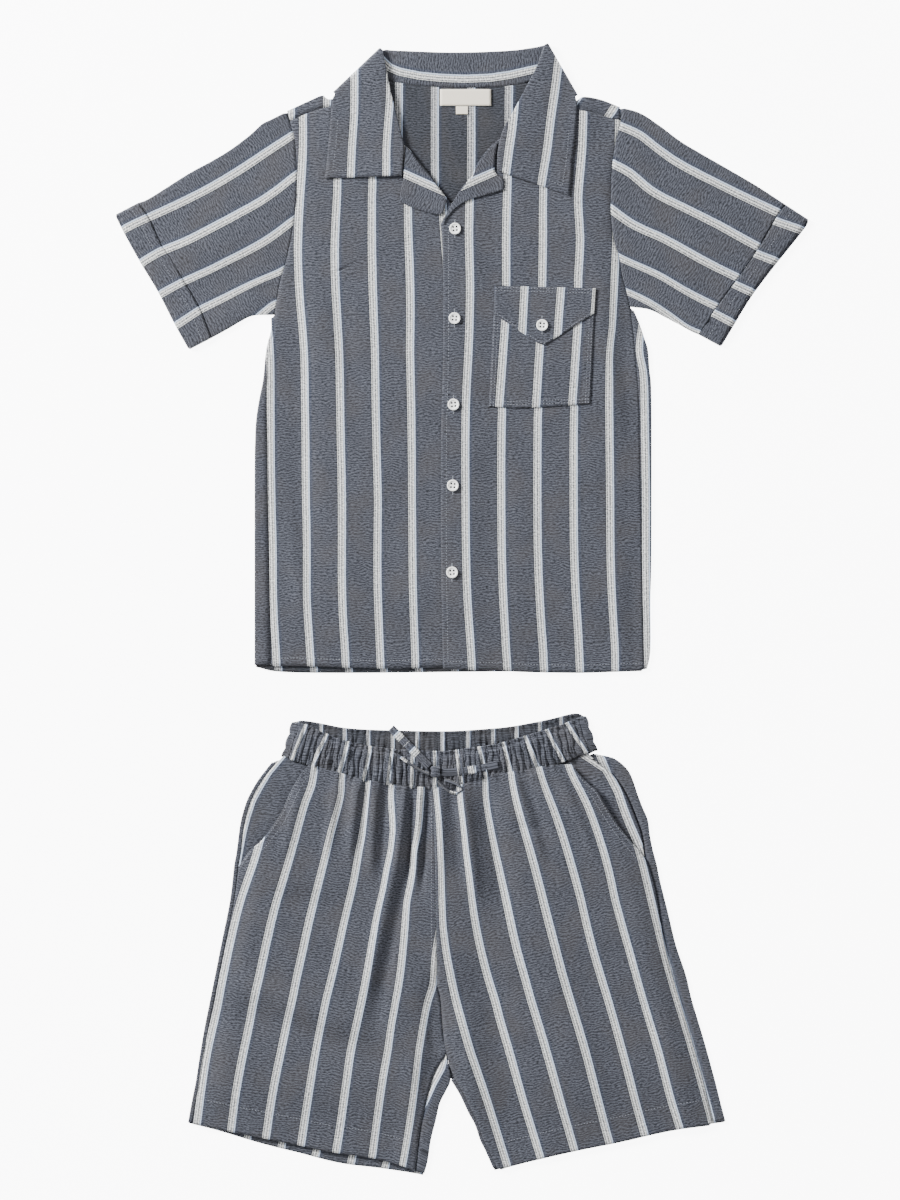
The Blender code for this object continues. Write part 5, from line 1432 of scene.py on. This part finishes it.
def make_button_mould(button_surface):
    """One four-hole shirt button at the origin: a turned disc, dished inside a rounded rim."""
    deselect()
    bpy.ops.mesh.primitive_cylinder_add(
        vertices=BUTTON_SIDES, radius=BUTTON_RADIUS * MM, depth=BUTTON_THICK * MM)
    button = bpy.context.active_object
    bpy.ops.object.mode_set(mode="EDIT")
    shape = bmesh.from_edit_mesh(button.data)
    for face in shape.faces:
        face.select_set(face.normal.z > 0.9)
    bmesh.update_edit_mesh(button.data)
    for share in BUTTON_INSETS:
        bpy.ops.mesh.inset(thickness=BUTTON_RADIUS * share * MM)
    bpy.ops.transform.translate(value=(0, 0, -BUTTON_THICK * BUTTON_DISH * MM))
    bpy.ops.object.mode_set(mode="OBJECT")
    rim = button.modifiers.new("Rounded rim", "BEVEL")
    rim.width = BUTTON_RIM * MM
    rim.segments = 3
    rim.limit_method = "ANGLE"
    rim.angle_limit = math.radians(20)
    apply_modifiers(button)
    for angle in np.radians([45, 135, 225, 315]):
        deselect()
        bpy.ops.mesh.primitive_cylinder_add(
            vertices=16, radius=BUTTON_HOLE_RADIUS * MM, depth=3 * BUTTON_THICK * MM,
            location=(BUTTON_HOLE_OUT * math.cos(angle) * MM, BUTTON_HOLE_OUT * math.sin(angle) * MM, 0))
        drill = bpy.context.active_object
        hole = button.modifiers.new("Hole", "BOOLEAN")
        hole.operation = "DIFFERENCE"
        hole.solver = "EXACT"
        hole.object = drill
        apply_modifiers(button)
        bpy.data.objects.remove(drill)
    button.data.materials.clear()
    button.data.materials.append(button_surface)
    activate(button)
    bpy.ops.object.shade_smooth_by_angle(angle=math.radians(40))
    return button


def make_buttons(button_surface, thread_surface):
    mould = make_button_mould(button_surface)
    for index, (across, down) in enumerate(BUTTONS + [FLAP_BUTTON]):
        on_flap = index == len(BUTTONS)
        name = "flap_button" if on_flap else f"button_{index + 1}"
        seat = height_at(FLAP_LEVEL if on_flap else SHIRT_LEFT, across, down) + SHOWN_CLOTH / 2 + BUTTON_CLEAR
        mesh = mould.data.copy()
        # Each is sewn on turned a little, from one to the next
        turn = 0.12 * math.sin(3.1 * index + 1)
        spot = place(across, down, seat + BUTTON_THICK / 2)
        mesh.transform(Matrix.Translation(spot) @ Matrix.Rotation(turn, 4, "Z"))
        button = linked(f"{name}_moulded", mesh)
        stand_for(button, name)
        hole = BUTTON_HOLE_OUT * math.cos(math.radians(45))
        top = seat + BUTTON_THICK * THREAD_LEVEL
        # Near-black thread spindles fill the holes: painted shade of the holes
        runs = [((across + side * hole, down + end * hole), (0.0, 1.0), top, *THREAD_AND_SHADE_IN_HOLE)
                for side in (-1, 1) for end in (-1, 1)]
        thread = stitch_mesh(f"{name}_thread", runs, thread_surface)
        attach(thread, "root")
    bpy.data.objects.remove(mould)


# Stitches

def stitch_mesh(name, runs, material):
    """Stitches as spindles. Each is (middle, direction, height, length, thickness)."""
    verts, faces = [], []
    for (x, y), (dx, dy), z, length, thick in runs:
        size = len(verts)
        half, side = length / 2, thick / 2
        tuck = 0.35 * thick
        for spot in ((x - dx * half, y - dy * half, z - tuck), (x + dx * half, y + dy * half, z - tuck),
                     (x - dy * side, y + dx * side, z), (x + dy * side, y - dx * side, z),
                     (x, y, z + side), (x, y, z - side)):
            verts.append(place(*spot))
        a, b, c, d, e, f = range(size, size + 6)
        faces += [(a, c, e), (a, e, d), (a, d, f), (a, f, c), (b, e, c), (b, d, e), (b, f, d), (b, c, f)]
    mesh = bpy.data.meshes.new(name)
    mesh.from_pydata(verts, [], faces)
    mesh.materials.append(material)
    made = linked(name, mesh)
    activate(made)
    bpy.ops.object.mode_set(mode="EDIT")
    bpy.ops.mesh.select_all(action="SELECT")
    bpy.ops.mesh.normals_make_consistent(inside=False)
    bpy.ops.object.mode_set(mode="OBJECT")
    made.data.shade_smooth()
    return made


def height_at(level, across, down):
    return float(level(np.array(float(across)), np.array(float(down))))


def stitch_run(line, level):
    """Stitches along a line on a level."""
    line = smooth(line)
    total = np.linalg.norm(np.diff(line, axis=0), axis=1).sum()
    spots = along(line, max(2, round(total / STITCH_PITCH)))
    middles = (spots[1:] + spots[:-1]) / 2
    runs = spots[1:] - spots[:-1]
    runs /= np.linalg.norm(runs, axis=1)[:, None]
    heights = level(middles[:, 0], middles[:, 1]) + SHOWN_CLOTH / 2 + STITCH_CLEAR
    return [(tuple(spot), tuple(run), float(height), STITCH_LENGTH, THREAD_THICK)
            for spot, run, height in zip(middles, runs, heights)]


def inset_line(line, distance):
    """The line moved to one side: to the right of its run, seen with down the table as down."""
    line = np.array(line, float)
    run = np.gradient(line, axis=0)
    run /= np.linalg.norm(run, axis=1)[:, None]
    return line + np.stack([-run[:, 1], run[:, 0]], axis=1) * distance


def buttonhole(across, down, level):
    """Bars of thread above and below a button, where its buttonhole shows past it."""
    found = []
    for step in range(BAR_COUNT):
        out = BAR_START - step * BAR_PITCH
        for spot in (down - out, down + out):
            height = height_at(level, across, spot) + SHOWN_CLOTH / 2 + BAR_CLEAR
            found.append(((across, spot), (1.0, 0.0), height, BAR_LENGTH, BAR_THICK))
    return found


def make_stitches(thread_surface):
    leaf_level = cloth_level(lapel_level)

    def cuff_top(across, down):
        return cuff_level(across, down) + (SHOWN_CUFF - SHOWN_CLOTH) / 2

    lines = [(moved(HEM_FRONT_R, 0, -8), SHIRT_TOP), (moved(HEM_FRONT_L, 0, -8), SHIRT_LEFT),
             (PLACKET_STITCHES, SHIRT_LEFT)]
    for distance in (1.6, 4.8):
        lines += [(inset_line(POCKET_LEFT, -distance), POCKET_TOP),
                  (inset_line(POCKET_LOW, -distance)[[0, -1]], POCKET_TOP),
                  (inset_line(POCKET_RIGHT, distance), POCKET_TOP),
                  (inset_line(FLAP_TOP, distance), FLAP_LEVEL)]
    lines += [(inset_line(half, -2.0), FLAP_LEVEL) for half in (FLAP_LOW[:3], FLAP_LOW[2:])]
    lines += [(line, leaf_level) for line in LEAF_STITCHES]
    lines += [(inset_line(CUFF_LINE_R, 9), cuff_top), (inset_line(CUFF_LINE_L, -9), cuff_top)]
    bars = [bar for across, down in BUTTONS for bar in buttonhole(across, down, SHIRT_LEFT)]
    bars += buttonhole(*FLAP_BUTTON, FLAP_LEVEL)
    add_topstitching("shirt_topstitching", lines, bars, thread_surface)

    lines = [moved(HEM_FRONT_LEG_R, 3, -26), moved(HEM_LEG_L, 0, -26), *CENTRE_STITCHES]
    for distance in (1.8, 7.0):
        lines += [inset_line(OPENING_R, -distance), inset_line(OPENING_L, distance)]
    lines = [(line, shorts_front_level) for line in lines]
    add_topstitching("shorts_topstitching", lines, [], thread_surface)


def add_topstitching(name, lines, bars, thread_surface):
    runs = [stitch for line, level in lines for stitch in stitch_run(line, level)]
    made = stitch_mesh(name, runs + bars, thread_surface)
    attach(made, "root")


# Materials

def linear(hex_colour):
    """The linear colour of an sRGB hex value."""
    values = [int(hex_colour[start:start + 2], 16) / 255 for start in (1, 3, 5)]
    return (*[value / 12.92 if value <= 0.04045 else ((value + 0.055) / 1.055) ** 2.4
              for value in values], 1.0)


def plug(tree, node, inputs):
    """Sockets or constants into a node's inputs, by name or number."""
    for key, value in inputs.items():
        if isinstance(value, bpy.types.NodeSocket):
            tree.links.new(value, node.inputs[key])
        else:
            node.inputs[key].default_value = value


def add(tree, kind, inputs=None, **settings):
    """A node with its settings. inputs are sockets or constants by name or number. Gives the node."""
    node = tree.nodes.new(kind)
    for key, value in settings.items():
        setattr(node, key, value)
    plug(tree, node, inputs or {})
    return node


def maths(tree, operation, *values):
    return add(tree, "ShaderNodeMath", dict(enumerate(values)), operation=operation).outputs[0]


def mixed(tree, share, first, second):
    node = add(tree, "ShaderNodeMix", {0: share, 6: first, 7: second}, data_type="RGBA")
    return node.outputs[2]


def ranged(tree, value, low, high, start=0.0, end=1.0, **settings):
    """start at low, end at high, and straight between them."""
    inputs = {"Value": value, "From Min": low, "From Max": high, "To Min": start, "To Max": end}
    return add(tree, "ShaderNodeMapRange", inputs, **settings).outputs[0]


def step_down(tree, value, low, high):
    """1 below low, falling to 0 above high."""
    return ranged(tree, value, low, high, 1.0, 0.0, interpolation_type="SMOOTHSTEP")


def bumped(tree, height, strength, distance):
    inputs = {"Strength": strength, "Distance": distance, "Height": height}
    return add(tree, "ShaderNodeBump", inputs).outputs[0]


def new_material(name):
    made = bpy.data.materials.new(name)
    made.use_nodes = True
    tree = made.node_tree
    return made, tree, tree.nodes["Principled BSDF"]


def streaks(tree, across_mm, along_mm, scales, detail=2.0):
    """Noise from millimetre coordinates, stretched by its two scales."""
    x = maths(tree, "MULTIPLY", across_mm, scales[0])
    y = maths(tree, "MULTIPLY", along_mm, scales[1])
    spot = add(tree, "ShaderNodeCombineXYZ", {0: x, 1: y}).outputs[0]
    return add(tree, "ShaderNodeTexNoise", {"Vector": spot, "Scale": 1.0, "Detail": detail}).outputs[0]


def striped_chambray(name, settings, dark, pale, white_thread):
    """Yarn-dyed cotton chambray, plain weave: dark blue-grey threads both ways with paler slubs, and bands
    of white warp threads with fine grey ones among them and a blue one at the side. The wrong side is
    duller."""
    made, tree, shader = new_material(name)

    def times(first, second):
        return maths(tree, "MULTIPLY", first, second)

    def plus(first, second):
        return maths(tree, "ADD", first, second)

    def away(value, middle):
        return maths(tree, "ABSOLUTE", maths(tree, "SUBTRACT", value, middle))

    def from_whole(value):
        return maths(tree, "SUBTRACT", maths(tree, "FRACT", plus(value, 0.5)), 0.5)

    def tinted(share, first, hex_colour):
        return mixed(tree, share, first, linear(hex_colour))

    uv = add(tree, "ShaderNodeUVMap", uv_map="Weave").outputs[0]
    count, run, _ = add(tree, "ShaderNodeSeparateXYZ", {0: uv}).outputs
    across_mm, along_mm = times(count, PITCH), times(run, PITCH)

    def slubs(scales, detail=1.0):
        return streaks(tree, across_mm, along_mm, scales, detail)

    waver = times(maths(tree, "SUBTRACT", slubs((0.02, 0.5), 2.0), 0.5), 0.7)
    side_mm = plus(times(from_whole(count), PITCH), waver)
    half = settings.stripe_width / MM / 2
    white = step_down(tree, away(side_mm, 0.0), half - 0.3, half + 0.3)
    # Weft slubs lie across the stripe, warp slubs along it. Real threads are 0.25 mm, drawn about
    # 0.8 mm, and the beat of the weft is drawn as waving ribs 2.6 mm apart
    weft, warp = slubs((0.32, 1.45), 1.5), slubs((1.8, 0.6), 1.5)
    rib = maths(tree, "SINE", times(plus(along_mm, times(slubs((0.07, 0.07)), 9.0)), 2 * math.pi / RIB_MM))
    heather = plus(plus(times(weft, 0.65), times(warp, 0.35)), times(rib, 0.06))
    heather = ranged(tree, heather, 0.4, 0.6)
    # The ground drifts darker in places, and warmer in others
    ground = mixed(tree, heather, linear(dark), linear(pale))
    ground = tinted(times(slubs((0.04, 0.03)), 0.35), ground, dark)
    warm = streaks(tree, plus(across_mm, 700.0), along_mm, (0.03, 0.025), 1.0)
    ground = tinted(times(ranged(tree, warm, 0.45, 0.7), 0.25), ground, settings.warm_thread)
    # Fine grey threads run broken through the band, and a pale blue one near its edge
    thread = maths(tree, "ABSOLUTE", from_whole(maths(tree, "DIVIDE", side_mm, LINE_MM)))
    dash = ranged(tree, slubs((0.5, 0.7), 2.0), 0.4, 0.55, 0.4)
    grey_share = times(times(step_down(tree, thread, 0.13, 0.33), dash), 0.95)
    band = mixed(tree, grey_share, linear(white_thread), linear(settings.grey_line))
    band = tinted(ranged(tree, heather, 0.0, 1.0, 0.6, 0.05), band, settings.grey_line)
    pale_blue = times(step_down(tree, away(side_mm, half - 0.6), 0.3, 0.9), 0.85)
    band = tinted(pale_blue, band, settings.blue_edge)
    blue = times(step_down(tree, away(side_mm, half + 1.2), 0.5, 3.0), 0.25)
    ground = tinted(blue, ground, settings.blue_line)
    shade = times(step_down(tree, away(side_mm, -half - 0.55), 0.1, 0.6), 0.6)
    ground = tinted(shade, ground, settings.edge_shade)
    threads = [maths(tree, "SINE", times(mm, 2 * math.pi / WEAVE_MM)) for mm in (across_mm, along_mm)]
    relief = bumped(tree, plus(times(*threads), times(heather, 1.5)), 0.5, 0.00012)
    plug(tree, shader, {"Base Color": mixed(tree, white, ground, band), "Normal": relief, "Roughness": 0.92,
                        "Specular IOR Level": 0.25, "Sheen Weight": 0.12, "Sheen Roughness": 0.5})
    return made


def object_noise(tree, scale, **more):
    """Object coordinates, and fine noise in them."""
    spot = add(tree, "ShaderNodeTexCoord").outputs["Object"]
    return spot, add(tree, "ShaderNodeTexNoise", {"Vector": spot, "Scale": scale, **more}).outputs[0]


def woven_label(name, settings):
    """Ivory polyester label tape, woven with a fine cross rib and left plain."""
    made, tree, shader = new_material(name)
    spot, grain = object_noise(tree, 1200.0)
    down = add(tree, "ShaderNodeSeparateXYZ", {0: spot}).outputs[1]
    rib = maths(tree, "SINE", maths(tree, "MULTIPLY", down, 2 * math.pi / (0.6 * MM)))
    relief = maths(tree, "ADD", maths(tree, "MULTIPLY", rib, 0.5), grain)
    colour = mixed(tree, grain, linear(settings.label_shade), linear(settings.label_ivory))
    plug(tree, shader, {"Base Color": colour, "Normal": bumped(tree, relief, 0.4, 0.0001), "Roughness": 0.75})
    return made


def button_plastic(name, settings):
    """White cast polyester, tumbled: smooth, with a soft gloss and a slight cloudiness."""
    made, tree, shader = new_material(name)
    _, cloud = object_noise(tree, 260.0)
    colour = mixed(tree, cloud, linear(settings.button_shade), linear(settings.button_white))
    plug(tree, shader, {"Base Color": colour, "Roughness": 0.28, "IOR": 1.54})
    return made


def sewing_thread(name, settings, hex_colour):
    """Spun polyester sewing thread: matt, with a fine twist."""
    made, tree, shader = new_material(name)
    _, twist = object_noise(tree, 2500.0)
    plug(tree, shader, {"Base Color": linear(hex_colour), "Normal": bumped(tree, twist, 0.3, 0.0001),
                        "Roughness": 0.8})
    return made


def matt_paper(name, settings):
    """White photographic sweep paper, lit through from below: matt, with no texture at this distance."""
    made, tree, shader = new_material(name)
    colour = linear(settings.floor_colour)
    plug(tree, shader, {"Base Color": colour, "Emission Color": colour, "Roughness": 0.95,
                        "Emission Strength": settings.floor_glow, "Specular IOR Level": 0.1})
    return made


# Stage

def make_stage(settings):
    deselect()
    bpy.ops.mesh.primitive_plane_add(size=FLOOR_SIZE, location=(0, 0, 0))
    floor = bpy.context.active_object
    floor.name = "sweep_paper"
    for vert in floor.data.vertices:
        vert.co.z = -FLOOR_DROP_MM * MM
    floor.data.materials.append(matt_paper("White sweep paper", settings))
    world = bpy.data.worlds.new("Studio")
    bpy.context.scene.world = world
    world.use_nodes = True
    background = world.node_tree.nodes["Background"]
    background.inputs["Color"].default_value = linear(settings.fill_colour)
    background.inputs["Strength"].default_value = settings.fill_strength
    for name, position, size, power in LAMPS:
        lamp = bpy.data.lights.new(name, "AREA")
        lamp.shape = "DISK"
        lamp.size = size
        lamp.energy = power * settings.lamp_strength
        made = linked(name, lamp)
        made.location = position
        made.rotation_euler = (-Vector(position)).to_track_quat("-Z", "Y").to_euler()
    camera = bpy.data.cameras.new("Camera")
    made = linked("Camera", camera)
    camera.lens = CAMERA_HEIGHT * camera.sensor_width / (VIEW_HEIGHT_MM * MM)
    made.location = (*place(*VIEW_MIDDLE, 0.0)[:2], CAMERA_HEIGHT)
    camera.clip_end = 4 * CAMERA_HEIGHT
    bpy.context.scene.camera = made


# Add-on

def colour_property(name, what, default):
    return bpy.props.StringProperty(name=name, description=f"sRGB hex colour of {what}", default=default)


class ClothSettings(bpy.types.PropertyGroup):
    stripe_width: bpy.props.FloatProperty(
        name="White stripe width", description="Width of each white band", default=0.0077, unit="LENGTH")
    dark_thread: colour_property("Dark thread", "the darker threads", "#1B1D23")
    pale_thread: colour_property("Pale thread", "the paler threads", "#585B65")
    white_thread: colour_property("White thread", "the white band", "#F2F3F1")
    warm_thread: colour_property("Warm thread", "the places where the ground drifts warmer", "#46423F")
    # Darker colours of the wrong side: painted shade where it lies under the upper layers
    shaded_wrong_dark: colour_property("Wrong side in painted shade, dark", "the darker threads inside", "#16181D")
    shaded_wrong_pale: colour_property("Wrong side in painted shade, pale", "the paler threads inside", "#43464E")
    shaded_wrong_white: colour_property("Wrong side in painted shade, white", "the white band inside", "#C9CACB")
    grey_line: colour_property("Grey line", "the fine lines in the band", "#34373E")
    blue_line: colour_property("Blue line", "the threads beside the band", "#2E3A50")
    blue_edge: colour_property("Blue edge", "the pale blue thread in the band", "#B9CBE6")
    edge_shade: colour_property("Dark edge", "the dark thread beside the band", "#15161A")
    label_ivory: colour_property("Label", "the label tape", "#EDE6D6")
    label_shade: colour_property("Label shade", "the gaps between the label's threads", "#D9D0BE")
    button_white: colour_property("Button", "the buttons", "#FFFFFD")
    button_shade: colour_property("Button shade", "the buttons' clouds", "#F4F4F1")
    thread_colour: colour_property("Topstitching", "the sewing thread", "#8A8E97")
    # The thread in the buttons is near-black: painted shade of the holes
    hole_shade_thread: colour_property("Button thread", "the thread in the buttons", "#0C0D10")


class StageSettings(bpy.types.PropertyGroup):
    floor_colour: colour_property("Floor", "the sweep paper", "#F2F2F3")
    floor_glow: bpy.props.FloatProperty(
        name="Floor glow", description="Strength of the light through the sweep paper", default=9.0, min=0.0)
    fill_colour: colour_property("Fill", "the light from all round", "#F7F7F9")
    fill_strength: bpy.props.FloatProperty(
        name="Fill strength", description="Strength of the light from all round", default=0.5, min=0.0)
    lamp_strength: bpy.props.FloatProperty(
        name="Lamp power", description="Power of the main lamp in watts", default=640.0, min=0.0)


CHAMBRAY = "Striped cotton chambray"
# The wrong side is drawn darker as painted shade
SHADED_WRONG_SIDE = "Striped cotton chambray, wrong side in painted shade"
LABEL_TAPE = "Ivory woven label tape"
BUTTON_PLASTIC = "White cast polyester"
GREY_THREAD = "Grey sewing thread"
# Near-black thread that fills the button holes as their painted shade
HOLE_SHADE_THREAD = "Button sewing thread"


def surface(name):
    """A material of the set, made when first asked for."""
    cloth = bpy.context.scene.set_cloth
    maker, *colours = {
        CHAMBRAY: (striped_chambray, cloth.dark_thread, cloth.pale_thread, cloth.white_thread),
        SHADED_WRONG_SIDE: (striped_chambray, cloth.shaded_wrong_dark, cloth.shaded_wrong_pale, cloth.shaded_wrong_white),
        LABEL_TAPE: (woven_label,),
        BUTTON_PLASTIC: (button_plastic,),
        GREY_THREAD: (sewing_thread, cloth.thread_colour),
        HOLE_SHADE_THREAD: (sewing_thread, cloth.hole_shade_thread),
    }[name]
    return bpy.data.materials.get(name) or maker(name, cloth, *colours)


# Columns: key, label, description, what makes it, its materials
STEPS = (
    ("shirt_back", "Shirt back", "The back with its turned sides and shoulders", make_shirt_back, [CHAMBRAY]),
    ("shirt_fronts", "Shirt fronts", "Both fronts, the left one on top", make_shirt_fronts, [CHAMBRAY]),
    ("lapels", "Lapels", "The facings that turn out under the collar", make_lapels, [CHAMBRAY]),
    ("sleeves", "Sleeves", "Both sleeves with their turned-up cuffs", make_sleeves, [CHAMBRAY]),
    ("collar", "Collar", "The camp collar, stand and fall in one", make_collar, [CHAMBRAY]),
    ("pocket", "Chest pocket", "The patch pocket and its pointed flap", make_pocket, [CHAMBRAY]),
    ("labels", "Labels", "The neck label and size tab, left plain", make_labels, [LABEL_TAPE]),
    ("leg_backs", "Shorts backs", "Both backs with their turned edges", make_leg_backs, [CHAMBRAY]),
    ("leg_fronts", "Shorts fronts", "Both fronts of the shorts", make_leg_fronts, [CHAMBRAY]),
    ("facings", "Pocket facings", "What shows inside the slanted pockets", make_pocket_facings, [CHAMBRAY]),
    ("waistband", "Waistband", "The gathered casing, all round", make_waistband, [CHAMBRAY]),
    ("drawstring", "Drawstring", "The bow: its knot, two loops and two ends", make_drawstring, [CHAMBRAY]),
    ("buttons", "Buttons", "Six buttons with their thread", make_buttons, [BUTTON_PLASTIC, HOLE_SHADE_THREAD]),
    ("stitches", "Topstitching", "Seam stitches and buttonholes", make_stitches, [GREY_THREAD]),
)


def piece_operator(key, label, words, maker, surfaces):
    """An operator class that makes one group of pieces."""
    def execute(self, context):
        maker(*[surface(name) for name in surfaces])
        return {"FINISHED"}

    return type(f"SET_OT_{key}", (bpy.types.Operator,), {
        "__doc__": words, "bl_idname": f"set.{key}", "bl_label": label, "execute": execute})


class SET_OT_stage(bpy.types.Operator):
    """The floor, lights and camera"""
    bl_idname = "set.stage"
    bl_label = "Stage"

    def execute(self, context):
        make_stage(context.scene.set_stage)
        return {"FINISHED"}


class SET_PT_panel(bpy.types.Panel):
    bl_label = "Shirt and shorts"
    bl_idname = "SET_PT_panel"
    bl_space_type = "VIEW_3D"
    bl_region_type = "UI"
    bl_category = "Shirt and shorts"

    def draw(self, context):
        for settings in (context.scene.set_cloth, context.scene.set_stage):
            for key in settings.__annotations__:
                self.layout.prop(settings, key)
        for maker in OPERATORS:
            self.layout.operator(maker.bl_idname)


OPERATORS = [piece_operator(*step) for step in STEPS] + [SET_OT_stage]
CLASSES = [ClothSettings, StageSettings, *OPERATORS, SET_PT_panel]


def register():
    for each in CLASSES:
        bpy.utils.register_class(each)
    bpy.types.Scene.set_cloth = bpy.props.PointerProperty(type=ClothSettings)
    bpy.types.Scene.set_stage = bpy.props.PointerProperty(type=StageSettings)


def unregister():
    del bpy.types.Scene.set_cloth
    del bpy.types.Scene.set_stage
    for each in reversed(CLASSES):
        bpy.utils.unregister_class(each)


def main():
    register()
    bpy.ops.set.stage()
    for key, *_ in STEPS:
        getattr(bpy.ops.set, key)()


if __name__ == "__main__":
    main()
